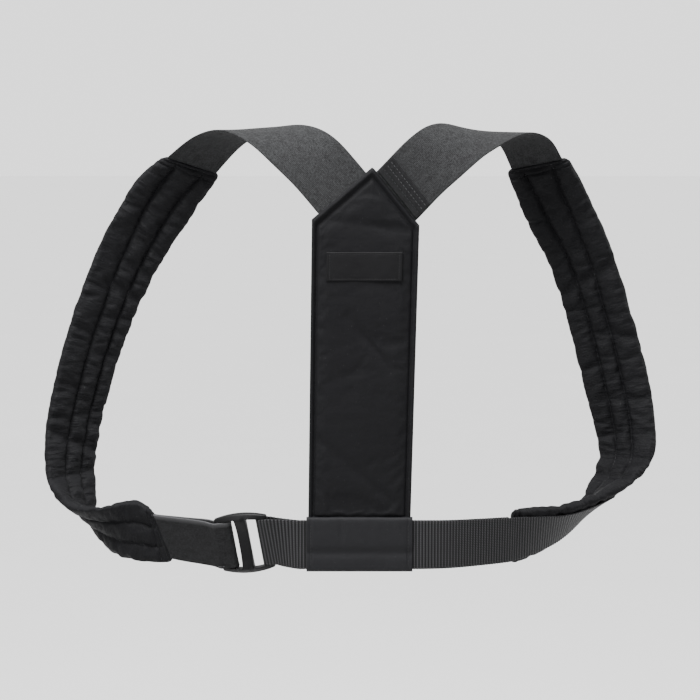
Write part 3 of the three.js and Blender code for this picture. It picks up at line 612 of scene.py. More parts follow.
def makePanel():
    columns = crowded(panel["shoulderWidth"], panel["pitch"])
    nearest = min(range(len(columns)), key=lambda i: abs(columns[i] - peakShare))
    columns[nearest] = peakShare
    rows = crowded(panel["height"] - panel["peakRise"], panel["pitch"])
    mesh = bmesh.new()
    layers = weaveLayers(mesh)
    for faceY in (panelFaceY, panelBackY):
        grid = bmesh.ops.create_grid(mesh, x_segments=len(columns) - 1, y_segments=len(rows) - 1, size=0.5)
        for index, vert in enumerate(grid["verts"]):
            row, column = divmod(index, len(columns))
            u, v = columns[column], rows[row]
            x, z = panelXZ(u, v)
            lap = panel["footLap"] * (1 - smoothstep(z - footZ, 0, panel["lapRun"]))
            vert.co = (x, faceY(u, v), z - lap)
            vert[layers[0]] = x
            vert[layers[1]] = z
            filled = smoothstep(panelEdge(u, z), panel["groove"], panel["sewnTo"])
            vert[layers[2]] = 1 - filled if faceY is panelFaceY else 1
    bmesh.ops.remove_doubles(mesh, verts=mesh.verts[:], dist=1e-6)
    writeWeave(mesh, layers)
    piece = finishPiece("back_panel_cloth", mesh, "panel", ["back_panel"])
    settleCloth(piece, panelSettle)
    soften(piece, 1)


def panelStitchPath(inset, faceY, out):     # round the panel, inset from its edge
    def pathPoint(u, v):
        x, z = panelXZ(u, v)
        return Vector((x, faceY(u, v), z)), Vector((0, out, 0))

    acrossShare = inset / panel["shoulderWidth"]
    footShare = inset / (panel["height"] - panel["peakRise"])
    topInset = inset * panel["roofRim"] * 1.43
    topShare = 1 - topInset / (panel["height"] - panel["peakRise"])
    peakTop = 1 - topInset / panel["height"]
    left = [pathPoint(acrossShare, v) for v in evenly(footShare, topShare, 80)]
    right = [pathPoint(1 - acrossShare, v) for v in evenly(topShare, footShare, 80)]
    up = [pathPoint(lerp(acrossShare, peakShare, t), lerp(topShare, peakTop, t)) for t in evenly(0, 1, 30)]
    down = []
    for t in evenly(1, 0, 30):
        down.append(pathPoint(lerp(1 - acrossShare, peakShare, t), lerp(topShare, peakTop, t)))
    return [left, up, down, right]


print("back panel")
makePanel()
seamStitch = {"pitch": 0.0028, "length": 0.0021, "width": 0.00055, "lift": 0.00005}
stitches("panel_stitches", panelStitchPath(panel["groove"], panelFaceY, -1), seamStitch)
stitches("panel_stitches_inner", panelStitchPath(panel["groove"], panelBackY, 1), seamStitch)


# Label patch: bare, follows the panel's face with a slight wave

label = {
    "width": 0.061, "height": 0.023, "thickness": 0.00055, "drop": 0.079, "gap": 0.0003, "wave": 0.0005,
    "pitch": 0.001, "rumple": 0.00012, "endFold": 0.00022, "endRun": 0.03, "sewnDent": 0.00018,
    "sewnAcross": 0.045, "acrossRun": 0.012, "sewnUp": 0.07, "upRun": 0.03,
}


def labelPoint(s, t, lift):
    u = 0.5 + (label["width"] / panel["shoulderWidth"]) * (s - 0.5)
    level = peakZ - label["drop"] + label["height"] * (t - 0.5)
    v = (level - footZ) / (panelRoof(u) - footZ)
    x, z = panelXZ(u, v)
    wave = label["wave"] * (1 + math.sin(3 * math.pi * s)) / 2 + label["rumple"] * ripple(s * 7, t * 3, 5)
    fold = label["endFold"] * (bell(s, label["endRun"]) + bell(1 - s, label["endRun"]))
    sewn = bell(min(s, 1 - s) - label["sewnAcross"], label["acrossRun"])
    sewn += bell(min(t, 1 - t) - label["sewnUp"], label["upRun"])
    return Vector((x, panelFaceY(u, v) - label["gap"] - wave - fold + label["sewnDent"] * sewn - lift, z))


def makeLabel():
    columns = round(label["width"] / label["pitch"])
    rows = round(label["height"] / label["pitch"])
    mesh = bmesh.new()
    layers = weaveLayers(mesh)
    bmesh.ops.create_grid(mesh, x_segments=columns, y_segments=rows, size=0.5)
    for index, vert in enumerate(mesh.verts[:]):
        row, column = divmod(index, columns + 1)
        vert.co = labelPoint(column / columns, row / rows, label["thickness"])
        vert[layers[0]] = vert.co.x
        vert[layers[1]] = vert.co.z
    writeWeave(mesh, layers)
    bmesh.ops.recalc_face_normals(mesh, faces=mesh.faces[:])
    if mesh.faces[:][0].normal.y > 0:
        bmesh.ops.reverse_faces(mesh, faces=mesh.faces[:])
    bmesh.ops.solidify(mesh, geom=mesh.faces[:], thickness=label["thickness"] - 0.0001)
    piece = finishPiece("label_patch_cloth", mesh, "label", ["label_patch"])


def labelStitchPath():
    s, t = label["sewnAcross"], label["sewnUp"]
    corners = [(s, t), (1 - s, t), (1 - s, 1 - t), (s, 1 - t), (s, t)]
    paths = []
    for (s, t), (nextS, nextT) in zip(corners, corners[1:]):
        path = []
        for share in evenly(0, 1, 30):
            point = labelPoint(lerp(s, nextS, share), lerp(t, nextT, share), label["thickness"])
            path.append((point, Vector((0, -1, 0))))
        paths.append(path)
    return paths


print("label")
makeLabel()
labelStitch = {"pitch": 0.0022, "length": 0.0016, "width": 0.00027, "lift": 0.00001}
stitches("label_stitches", labelStitchPath(), labelStitch)


# Shoulder loops: shares of the reach, the depth and the rise, directions across in degrees, quilting seams

loop = {
    "leftReach": 0.2495, "rightReach": 0.225, "depth": 0.12, "rise": 0.05, "seamDepth": 0.004,
    "padTopRow": 5, "seamRows": 2,
}
belt = {"webbing": 0.04, "webbingThickness": 0.0015, "gap": 0.0003, "layerGap": 0.00035, "sleeveWall": 0.0018}
sleeveWidth = 0.0855
sleeveHollow = (
    belt["webbing"] + 2 * belt["gap"],
    2 * belt["webbingThickness"] + belt["layerGap"] + 2 * belt["gap"],
)
sleeveHeight = sleeveHollow[0] + 2 * belt["sleeveWall"]
sleeveDepth = sleeveHollow[1] + 2 * belt["sleeveWall"]
sleeveX = panel["footX"]
beltY = -sleeveDepth / 2
beltZ = footZ - belt["gap"] - sleeveHeight / 2

loopColumns = ("out", "front", "up", "width", "turn", "lean", "seamA", "seamB")
leftTable = [
    (0.165, 0.04, 0.93, 0.8, 38, 4, 0.33, 0.7),
    (0.265, 0.2, 0.985, 0.8, 20, 18, 0.33, 0.7),
    (0.37, 0.43, 1, 0.8, 3, 27, 0.3, 0.72),
    (0.475, 0.68, 0.975, 0.8, -8, 28, 0.27, 0.74),
    (0.575, 0.865, 0.91, 0.93, -18, 20, 0.27, 0.74),
    (0.68, 0.95, 0.82, 1.02, -31, 14, 0.34, 0.7),
    (0.8, 1, 0.675, 0.99, -26, 18, 0.42, 0.73),
    (0.885, 1, 0.53, 0.96, -20, 26, 0.44, 0.74),
    (0.95, 0.98, 0.385, 0.94, -14, 32, 0.45, 0.75),
    (0.995, 0.93, 0.23, 0.93, -8, 35, 0.43, 0.74),
    (1, 0.86, 0.13, 0.92, -8, 43, 0.39, 0.7),
    (0.985, 0.78, 0.075, 0.92, -20, 52, 0.38, 0.7),
    (0.95, 0.68, 0.03, 0.92, -52, 58, 0.37, 0.7),
    (0.885, 0.56, 0.01, 0.95, -88, 50, 0.36, 0.7),
    (0.82, 0.46, 0.005, 0.96, -95, 28, 0.35, 0.7),
    (0.755, 0.38, 0.005, 0.93, -88, 8, 0.35, 0.7),
    (0.66, 0.3, -0.003, 0.84, -68, 0, 0.35, 0.7),
]
rightTable = [
    (0.235, 0.04, 0.93, 0.8, -50, -4, 0.3, 0.67),
    (0.35, 0.2, 0.985, 0.8, -30, -20, 0.3, 0.67),
    (0.485, 0.43, 1, 0.8, -3, -29, 0.28, 0.7),
    (0.59, 0.68, 0.98, 0.8, 3, -26, 0.26, 0.72),
    (0.65, 0.85, 0.92, 0.98, 12, -20, 0.26, 0.72),
    (0.72, 0.94, 0.825, 1.03, 24, -16, 0.3, 0.66),
    (0.825, 1, 0.68, 1.02, 22, -20, 0.32, 0.62),
    (0.895, 1, 0.535, 1, 16, -18, 0.33, 0.61),
    (0.955, 0.98, 0.385, 1.01, 13, -14, 0.33, 0.6),
    (1, 0.925, 0.23, 0.98, 7, -27, 0.33, 0.6),
    (0.995, 0.85, 0.163, 0.95, 4, -38, 0.33, 0.62),
    (0.945, 0.75, 0.108, 0.93, 20, -46, 0.34, 0.64),
    (0.86, 0.63, 0.06, 0.92, 50, -54, 0.34, 0.66),
    (0.75, 0.5, 0.022, 0.92, 82, -50, 0.34, 0.66),
    (0.65, 0.38, 0.007, 0.9, 90, -34, 0.34, 0.66),
    (0.54, 0.27, -0.003, 0.87, 90, -14, 0.34, 0.66),
]


def vSeam(side):        # where the elastic meets each slope of the V
    cornerX, cornerZ = panelXZ(0 if side < 0 else 1, 1)
    peakX, topZ = panelXZ(peakShare, 1)
    edge = Vector((peakX - cornerX, 0, topZ - cornerZ)).normalized()
    across = edge if side < 0 else -edge
    outward = Vector((-across.z, 0, across.x))
    centre = Vector(((peakX + cornerX) / 2, -panel["thickness"] / 2, (topZ + cornerZ) / 2))
    return centre, across, outward


def loopRoute(side, reach, table):
    centre, across, outward = vSeam(side)
    shoulderTop = centre.z + loop["rise"]
    rows = []
    for values in table:
        row = dict(zip(loopColumns, values))
        turn, lean = math.radians(row["turn"]), math.radians(row["lean"])
        flat = math.cos(lean)
        row["across"] = Vector((flat * math.cos(turn), math.sin(lean), flat * math.sin(turn)))
        level = lerp(beltZ, shoulderTop, row["up"])
        row["centre"] = Vector((side * reach * row["out"], loop["depth"] * row["front"], level))
        rows.append(row)
    inside = {**rows[0], "centre": centre - outward * loop["seamDepth"], "across": across}
    seam = {**rows[0], "centre": centre, "across": across}
    return Route([inside, seam, *rows])


leftLoop = loopRoute(-1, loop["leftReach"], leftTable)
rightLoop = loopRoute(1, loop["rightReach"], rightTable)
padTop = loop["padTopRow"] + loop["seamRows"] - 1
leftPadFrom = leftLoop.distanceOfRow(padTop)
rightPadFrom = rightLoop.distanceOfRow(padTop)


# Shoulder elastic, drawn in a little where the pad takes it

elastic = {
    "width": 0.05, "padWidth": 0.045, "thickness": 0.0016, "padDepth": 0.011, "pitch": 0.002,
    "cuffLength": 0.016, "cuffThickness": 0.0013, "cuffGap": 0.0003, "cuffPitch": 0.0005,
    "cuffSewn": (0.0045, 0.0085, 0.0125), "sewnDent": 0.0003, "sewnBreadth": 0.0008, "stitchInset": 0.002,
    "rough": 0.0002, "sway": 0.0006, "cup": 0.0007,
}


def elasticWidthAt(distance, padFrom):
    return lerp(elastic["width"], elastic["padWidth"], smoothstep(distance, padFrom / 2, padFrom))


def makeElastic(name, route, padFrom, node):
    def ring(station):
        width = elasticWidthAt(station.distance, padFrom)
        sway = elastic["sway"] * ripple(station.distance * 22, 4 if padFrom == leftPadFrom else 9)
        section = strapRing(width, elastic["thickness"], 20)
        cup = [elastic["cup"] * ripple(place * 35, station.distance * 16, 2) for place, _ in section]
        return [(place + sway, height + lift) for (place, height), lift in zip(section, cup)]

    stations = route.stations(0.0005, padFrom + elastic["padDepth"], elastic["pitch"])
    return finishPiece(name, rolledBand(stations, ring), "elastic", [node], subdivide=1)


def makeCuff():
    lift = elastic["thickness"] / 2 + elastic["cuffGap"] + elastic["cuffThickness"] / 2
    first = loop["seamDepth"] + panel["thickness"] / 4
    last = first + elastic["cuffLength"]

    def ring(station):
        run = station.distance - first
        sunk = sum(elastic["sewnDent"] * bell(run - at, elastic["sewnBreadth"]) for at in elastic["cuffSewn"])
        end = 1 - 0.45 * bell(last - station.distance, 0.0007)
        section = strapRing(elastic["width"] - 0.001, elastic["cuffThickness"] * end, 20, lift - sunk)
        made = []
        for place, height in section:
            made.append((place, height + elastic["rough"] * ripple(place * 150, station.distance * 90)))
        return made

    mesh = rolledBand(rightLoop.stations(first, last, elastic["cuffPitch"]), ring)
    finishPiece("elastic_cuff_cloth", mesh, "cuff", ["elastic_cuff_right"])
    paths = []
    for at in elastic["cuffSewn"]:
        station = rightLoop.at(first + at)
        height = lift + elastic["cuffThickness"] / 2 - 0.0002
        span = elastic["width"] / 2 - elastic["stitchInset"]
        paths.append([(station.point(place, height), station.normal) for place in evenly(-span, span, 24)])
    return paths


print("shoulder elastics")
makeElastic("elastic_left_cloth", leftLoop, leftPadFrom, "shoulder_elastic_left")
makeElastic("elastic_right_cloth", rightLoop, rightPadFrom, "shoulder_elastic_right")
cuffPaths = makeCuff()
cuffStitch = {"pitch": 0.0032, "length": 0.0019, "width": 0.0005, "lift": 0.00005}
stitches("cuff_stitches", cuffPaths[:1], cuffStitch)
stitches("cuff_stitches_pale", cuffPaths[1:], cuffStitch, "paleThread")


# Shoulder pads: three quilted channels between two seams, crossed by folds

pad = {
    "width": 0.056, "core": 0.0017, "innerPuff": 0.0041, "outerPuff": 0.0019, "seamHalf": 0.0006,
    "seamRun": 0.0026, "edgeRoll": 0.0028, "endHalf": 0.0024, "endRun": 0.011, "pitch": 0.0019,
    "corner": 0.005, "tip": 0.75, "foldGain": 1.7, "outerFold": 0.8, "notch": 0.0024,
    "channel": (0, 0.05, 0.13, 0.26, 0.42, 0.58, 0.74, 0.87, 0.95), "crown": 0.6, "openCrown": 0.7,
    "pucker": 0.0013, "puckerInset": 0.0035, "puckerRun": 0.004, "puckerPace": 170,
    "billow": 0.0006, "billowPace": 60, "wobble": 0.0008, "wobblePace": 55, "edgeRun": 0.006,
    "sewnRun": 0.0012, "foldHold": 0.85, "edgeHold": 0.5, "smallFolds": 44,
    "hem": (0.0026, 0.0072), "hemDepth": 0.0013, "hemBreadth": 0.0009, "hemRun": 0.0096,
    "stitchRise": 0.0001, "stitchFrom": 0.009, "stitchStep": 0.003,
}
padSettle = {
    "frames": 20, "quality": 6, "mass": 0.01, "stretch": 8, "shear": 3, "bending": 0.1, "pressure": 1.5,
    "ease": 0.035, "cap": 0.0016,
}
foldColumns = ("at", "from", "to", "depth", "breadth", "skew")
leftFolds = [
    (0.06, 0.6, 1, 0.45, 0.08, 0.15),
    (0.13, 0, 0.4, 0.4, 0.09, -0.1),
    (0.19, 0.35, 1, 0.45, 0.09, 0.2),
    (0.245, 0.35, 1, 0.5, 0.1, 0.1),
    (0.3, 0.3, 1, 0.85, 0.11, 0.15),
    (0.31, 0, 0.3, 0.4, 0.09, 0),
    (0.365, 0.4, 1, 0.5, 0.09, -0.15),
    (0.41, 0, 0.5, 0.4, 0.1, 0.2),
    (0.44, 0.4, 0.9, 0.45, 0.09, 0.1),
    (0.52, 0, 0.4, 0.45, 0.1, 0.1),
    (0.575, 0.4, 1, 0.5, 0.1, -0.2),
    (0.63, 0, 1, 0.6, 0.11, 0.3),
    (0.7, 0, 1, 0.6, 0.12, -0.2),
    (0.77, 0.2, 1, 0.5, 0.12, 0.2),
    (0.86, 0, 0.7, 0.4, 0.1, 0.1),
]
rightFolds = [
    (0.07, 0, 0.5, 0.4, 0.09, 0.1),
    (0.14, 0.5, 1, 0.4, 0.09, -0.1),
    (0.2, 0, 0.7, 0.5, 0.1, 0.2),
    (0.27, 0, 1, 0.85, 0.11, -0.25),
    (0.33, 0, 0.6, 0.45, 0.09, 0.1),
    (0.39, 0.4, 1, 0.55, 0.1, 0.3),
    (0.45, 0, 0.5, 0.45, 0.1, -0.1),
    (0.53, 0.3, 1, 0.45, 0.1, 0.1),
    (0.6, 0, 0.5, 0.5, 0.1, -0.2),
    (0.66, 0, 1, 0.95, 0.12, 0.05),
    (0.71, 0, 1, 0.7, 0.1, 0.2),
    (0.79, 0, 0.6, 0.5, 0.11, -0.1),
    (0.88, 0.3, 1, 0.4, 0.1, 0.1),
]


def foldTable(rows, seed):      # the chosen folds, and small ones between them
    dice = random.Random(seed)
    folds = [dict(zip(foldColumns, row)) for row in rows]
    for _ in range(pad["smallFolds"]):
        start = dice.choice((0, 0.02, 0.33, 0.66))
        folds.append({
            "at": dice.uniform(0.03, 0.97), "from": start, "to": start + dice.uniform(0.22, 0.36),
            "depth": dice.uniform(0.18, 0.42), "breadth": dice.uniform(0.04, 0.08),
            "skew": dice.uniform(-0.4, 0.4),
        })
    return folds


def foldDepth(folds, along, across, length):
    deepest = 0
    for fold in folds:
        away = (along - fold["at"]) * length - fold["skew"] * pad["width"] * (across - 0.5)
        reach = fold["breadth"] * pad["width"]
        if abs(away) < 3 * reach:
            inside = smoothstep(across, fold["from"] - 0.08, fold["from"] + 0.08)
            inside *= 1 - smoothstep(across, fold["to"] - 0.08, fold["to"] + 0.08)
            deepest = max(deepest, fold["depth"] * inside * crease(away, reach))
    return deepest


def padSurface(padFrom, padTo, folds, seed):     # gives place, height and sewn share anywhere on a pad
    length = padTo - padFrom

    def surface(station, channel, place, side):
        seams = (0, station.column("seamA"), station.column("seamB"), 1)
        width = pad["width"] * station.column("width")
        s = station.distance
        toEnd = min(s - padFrom, padTo - s)
        full = smoothstep(toEnd, 0, pad["endRun"])
        across = lerp(seams[channel], seams[channel + 1], place)
        span = (seams[channel + 1] - seams[channel]) * width
        openSide = (channel == 0 and place < 0.5) or (channel == 2 and place > 0.5)
        toSeam = span if openSide else min(place, 1 - place) * span
        crown = max(1 - (2 * place - 1) ** 2, 0) ** pad["crown"]
        if openSide:
            crown = max(crown, pad["openCrown"])
        toEdge = min(across, 1 - across) * width
        nose = rolledEdge(toEdge, pad["edgeRoll"])
        gain = pad["foldGain"] if side < 0 else pad["outerFold"]
        fold = foldDepth(folds, station.share, across, length) * gain
        puff = pad["outerPuff"] if side > 0 else pad["innerPuff"]
        near = bell(min(toSeam, toEdge + 0.002) - pad["puckerInset"], pad["puckerRun"])
        pucker = pad["pucker"] * ripple(s * pad["puckerPace"], channel * 5 + seed, side * 3) * near
        core = lerp(pad["seamHalf"], pad["core"], smoothstep(toSeam, 0, pad["seamRun"]))
        billow = pad["billow"] * ripple(s * pad["billowPace"], across * 9, seed + side)
        swell = puff * crown * (1 - min(fold, 0.95)) + (pucker + billow) * crown
        hem = sum(pad["hemDepth"] * bell(toEnd - at, pad["hemBreadth"]) for at in pad["hem"])
        tip = lerp(pad["tip"], 1, rolledEdge(toEnd, pad["corner"]))
        height = (lerp(pad["endHalf"], core + swell, full) - hem) * nose * tip
        outward = -1 if across < 0.5 else 1
        wobble = pad["wobble"] * ripple(s * pad["wobblePace"], seed, outward) - pad["notch"] * fold
        rounded = width - 2 * pad["corner"] * (1 - rolledEdge(toEnd, pad["corner"]))
        shifted = (across - 0.5) * rounded + outward * wobble * bell(toEdge, pad["edgeRun"]) * full
        onSeam = 1 - smoothstep(toSeam, 0, pad["sewnRun"])
        onFold = pad["foldHold"] * smoothstep(fold, 0.3, 0.7)
        onEdge = pad["edgeHold"] * (toEdge < 0.0001)
        return shifted, side * height, max(onSeam, onFold, onEdge, 1 - full)

    return surface


def padRing(surface):
    def ring(station):
        faces = {1: [], -1: []}
        for channel in range(3):
            for place in pad["channel"] if channel < 2 else (*pad["channel"], 1):
                for side in (1, -1):
                    faces[side].append(surface(station, channel, place, side))
        return faces[1] + faces[-1][-2:0:-1]

    return ring


def makePad(name, route, padFrom, folds, node, seed):
    surface = padSurface(padFrom, route.length, folds, seed)
    insets = evenly(0, pad["hemRun"], 12)[:-1]
    first, last = padFrom + pad["hemRun"], route.length - pad["hemRun"]
    distances = [padFrom + inset for inset in insets]
    distances += evenly(first, last, round((last - first) / pad["pitch"]))
    distances += [route.length - inset for inset in reversed(insets)]
    stations = [route.at(distance, padFrom, route.length) for distance in distances]
    mesh = rolledBand(stations, padRing(surface))
    piece = finishPiece(name, mesh, "pad", [node])
    settleCloth(piece, padSettle)
    soften(piece, 1)

    def stitchPoint(station, channel, share, side):
        place, height, _ = surface(station, channel, share, side)
        return station.point(place, height + side * pad["stitchRise"]), station.normal * side

    paths = []
    inset = pad["stitchFrom"]
    rows = route.stations(padFrom + inset, route.length - inset, pad["stitchStep"])
    hems = [padFrom + at for at in pad["hem"]] + [route.length - at for at in pad["hem"]]
    for side in (1, -1):
        for channel in (1, 2):
            paths.append([stitchPoint(station, channel, 0, side) for station in rows])
        for at in hems:
            station = route.at(at, padFrom, route.length)
            places = [(channel, share) for channel in range(3) for share in evenly(0.08, 0.92, 8)]
            paths.append([stitchPoint(station, channel, share, side) for channel, share in places])
    stitches(name.replace("cloth", "stitches"), paths, padStitch)


print("shoulder pads")
padStitch = {"pitch": 0.0032, "length": 0.0024, "width": 0.0005, "lift": 0.0}
makePad("pad_left_cloth", leftLoop, leftPadFrom, foldTable(leftFolds, 3), "shoulder_pad_left", 2)
makePad("pad_right_cloth", rightLoop, rightPadFrom, foldTable(rightFolds, 8), "shoulder_pad_right", 6)


# Belt sleeve: a flat tube of cloth, turned under along its foot

sleeve = {
    "corner": 0.0034, "lap": 0.0006, "wall": 0.0013, "pitch": 0.0012, "stitchInset": 0.0036, "tuck": 0.0013,
    "tuckDrop": 0.006, "tuckBreadth": 0.0035, "sewnDent": 0.0006, "sewnBreadth": 0.0009,
    "rumple": 0.00025, "rumplePace": 60, "creaseFrom": -0.012, "creaseTo": 0.014, "lessAround": 0.006,
    "stitchSink": 0.0005, "stitchFrom": 0.004,
}
sleeveCreases = [
    {"at": 0.33, "depth": 0.0006, "breadth": 0.03},
    {"at": 0.62, "depth": 0.0003, "breadth": 0.05},
]


def makeSleeve():
    half = sleeveDepth / 2
    ends = [Vector((sleeveX + side * sleeveWidth / 2, beltY, beltZ)) for side in (1, -1)]
    rows = [{"centre": end, "across": Vector((0, 0, 1))} for end in ends]
    route = Route(rows)
    distances = [share * route.length for share in crowded(route.length, sleeve["pitch"])]
    stations = [route.at(distance) for distance in distances]
    tall = sleeveHeight / 2
    corner = sleeve["corner"]
    section = []
    for place in evenly(-tall + corner, tall - corner, 22):
        section.append((place, half))
    for angle in evenly(0, math.pi, 8)[1:-1]:
        rise = (corner + sleeve["lap"]) * math.sin(angle) ** 0.5
        section.append((tall - corner + rise, half * math.cos(angle)))
    for place in evenly(tall - corner, -tall + corner, 22):
        section.append((place, -half))
    for angle in evenly(math.pi, 2 * math.pi, 8)[1:-1]:
        section.append((-tall + corner + corner * math.sin(angle), half * math.cos(angle)))

    def ring(station):
        toEnd = min(station.distance, route.length - station.distance)
        sewn = sleeve["sewnDent"] * bell(toEnd - sleeve["stitchInset"], sleeve["sewnBreadth"])
        made = []
        for place, height in section:
            high = smoothstep(place, sleeve["creaseFrom"], sleeve["creaseTo"])
            pace = sleeve["rumplePace"]
            waves = ripple(place * pace, station.distance * pace, 6 if height > 0 else 9)
            dent = sewn + sleeve["rumple"] * waves
            for row in sleeveCreases:
                dent += row["depth"] * bell(station.share - 1 + row["at"], row["breadth"]) * high
            dent += sleeve["tuck"] * bell(place + sleeve["tuckDrop"], sleeve["tuckBreadth"])
            side = 1 if height > 0 else -1
            made.append((place, height - side * dent * clamp(abs(height) / half)))
        return made

    mesh = rolledBand(stations, ring, closeEnds=False)
    bmesh.ops.recalc_face_normals(mesh, faces=mesh.faces[:])
    bmesh.ops.solidify(mesh, geom=mesh.faces[:], thickness=sleeve["wall"])
    # the sleeve's finish is the panel cloth painted lighter, as painted light on its bulging front
    piece = finishPiece("belt_sleeve_cloth", mesh, "sleeve", ["belt_sleeve"], subdivide=1)
    around = 2 * (sleeveHeight + sleeveDepth) - sleeve["lessAround"]
    paths = []
    for distance in (sleeve["stitchInset"], route.length - sleeve["stitchInset"]):
        station = route.at(distance)
        for side in (1, -1):
            places = evenly(-tall + sleeve["stitchFrom"], tall - sleeve["stitchFrom"], 20)
            height = side * (half - sleeve["stitchSink"])
            paths.append([(station.point(place, height), station.normal * side) for place in places])
    stitches("sleeve_stitches", paths, seamStitch)


print("belt sleeve")
makeSleeve()


# Slider buckle: a three-bar plate with bowed rails, placed on the belt's line

buckle = {
    "width": 0.044, "height": 0.052, "thickness": 0.0042, "bow": 0.0034, "rail": 0.0054, "endBar": 0.0066,
    "middleBar": 0.0094, "bevel": 0.0011, "railForward": 0.0036, "ridge": 0.0044, "out": 0.05,
    "forward": 0.0085, "tip": 13, "roll": -7, "swing": -12,
}
windowDrop = [
    (-0.022, 0), (-0.0092, 0), (-0.0066, 0.0034), (0.003, 0.0046), (0.0085, 0.0046), (0.0135, 0), (0.022, 0),
]
buckleTurn = Euler([math.radians(buckle[name]) for name in ("tip", "roll", "swing")], "XYZ").to_matrix()
buckleCentre = Vector((sleeveX - sleeveWidth / 2 - buckle["out"], beltY + buckle["forward"], beltZ))
barOut = (buckle["width"] - buckle["endBar"]) / 2


def onBuckle(x, y, z):
    return buckleTurn @ Vector((x, y, z)) + buckleCentre


def railDrop(x):        # the rails reach further in where no strap passes
    for (before, low), (after, high) in zip(windowDrop, windowDrop[1:]):
        if before <= x <= after:
            return lerp(low, high, smoothstep(x, before, after))
    return 0


def makeBuckle():
    half = buckle["width"] / 2
    inner = half - buckle["endBar"]
    middle = buckle["middleBar"] / 2
    columns = [*evenly(-half, -inner, 2), *evenly(-inner, -middle, 5)[1:], *evenly(-middle, middle, 4)[1:]]
    columns += [*evenly(middle, inner, 5)[1:], *evenly(inner, half, 2)[1:]]
    tall = buckle["height"] / 2
    window = tall - buckle["rail"]
    ridge = tall - buckle["ridge"]
    rows = [-tall, -ridge, -window, -window / 2, 0, window / 2, window, ridge, tall]
    forward = {tall: 0.15, ridge: 1, window: 0.6}
    standing = []
    mesh = bmesh.new()
    bmesh.ops.create_grid(mesh, x_segments=len(columns) - 1, y_segments=len(rows) - 1, size=0.5)
    for index, vert in enumerate(mesh.verts[:]):
        row, column = divmod(index, len(columns))
        x, level = columns[column], rows[row]
        size = abs(level)
        if size > window:
            size -= buckle["bow"] * (x / half) ** 2
        elif size == window:
            size -= railDrop(x)
        vert.co = (x, -buckle["thickness"] / 2, math.copysign(size, level))
        standing.append((vert, forward.get(abs(level), 0)))
    holes = [
        face for face in mesh.faces
        if abs(face.calc_center_median().z) < window and middle < abs(face.calc_center_median().x) < inner
    ]
    bmesh.ops.delete(mesh, geom=holes, context="FACES")
    front = mesh.faces[:]
    back = bmesh.ops.extrude_face_region(mesh, geom=front, use_keep_orig=True)
    raised = [part for part in back["geom"] if isinstance(part, bmesh.types.BMVert)]
    bmesh.ops.translate(mesh, verts=raised, vec=(0, buckle["thickness"], 0))
    for vert, share in standing:        # the rails are domed and stand forward at their middle
        if vert.is_valid:
            vert.co.y -= buckle["railForward"] * share * (1 - (vert.co.x / half) ** 2)
    bmesh.ops.recalc_face_normals(mesh, faces=mesh.faces[:])
    sharp = [edge for edge in mesh.edges if edge.is_manifold and edge.calc_face_angle() > math.radians(50)]
    bmesh.ops.bevel(
        mesh, geom=sharp, offset=buckle["bevel"], offset_type="OFFSET", segments=3, profile=0.5,
        affect="EDGES", material=-1,
    )
    place = Matrix.Translation(buckleCentre) @ buckleTurn.to_4x4()
    bmesh.ops.transform(mesh, matrix=place, verts=mesh.verts[:])
    name = "slider_buckle_moulding"
    return finishPiece(name, mesh, "plastic", ["slider_buckle"], subdivide=1)


print("buckle")
makeBuckle()


# Straps round the buckle's bars: to a bar, round it and back, the outer layer first

def roundBar(middle, bar, across, towardBar, thickness, slack=0.0):
    def layer(sign):
        rows = []
        for i, row in enumerate(middle):
            before = middle[max(i - 1, 0)]["centre"]
            after = middle[min(i + 1, len(middle) - 1)]["centre"]
            normal = row["across"].cross(after - before).normalized()
            rows.append({"across": row["across"], "centre": row["centre"] + normal * sign * row["halfGap"]})
        return rows

    radius = buckle["thickness"] / 2 + belt["gap"] + thickness / 2
    away = across.cross(towardBar).normalized()
    reach = buckle["endBar"] / 2 - 0.0008
    outside = buckle["endBar"] / 2 + belt["gap"]
    arc = []
    for angle in evenly(0, math.pi, 6):
        along = reach + slack + radius * math.sin(angle)
        arc.append({"across": across, "centre": bar + away * radius * math.cos(angle) + towardBar * along})

    def beside(sign, along):
        return {"across": across, "centre": bar + away * sign * radius + towardBar * along}

    start = [beside(1, -outside), beside(1, 0)]
    end = [beside(-1, 0), beside(-1, -outside)]
    return [*layer(1), *start, *arc, *end, *reversed(layer(-1))]


waist = {
    "width": 0.04, "thickness": 0.0015, "hem": 0.008, "pitch": 0.0018, "slack": 0.0046, "edge": 0.0022,
    "dip": 0.0002, "wave": 0.0003, "barRow": 6, "tackBack": 0.0034, "tackRun": 0.0064, "tackInset": 0.0022,
}


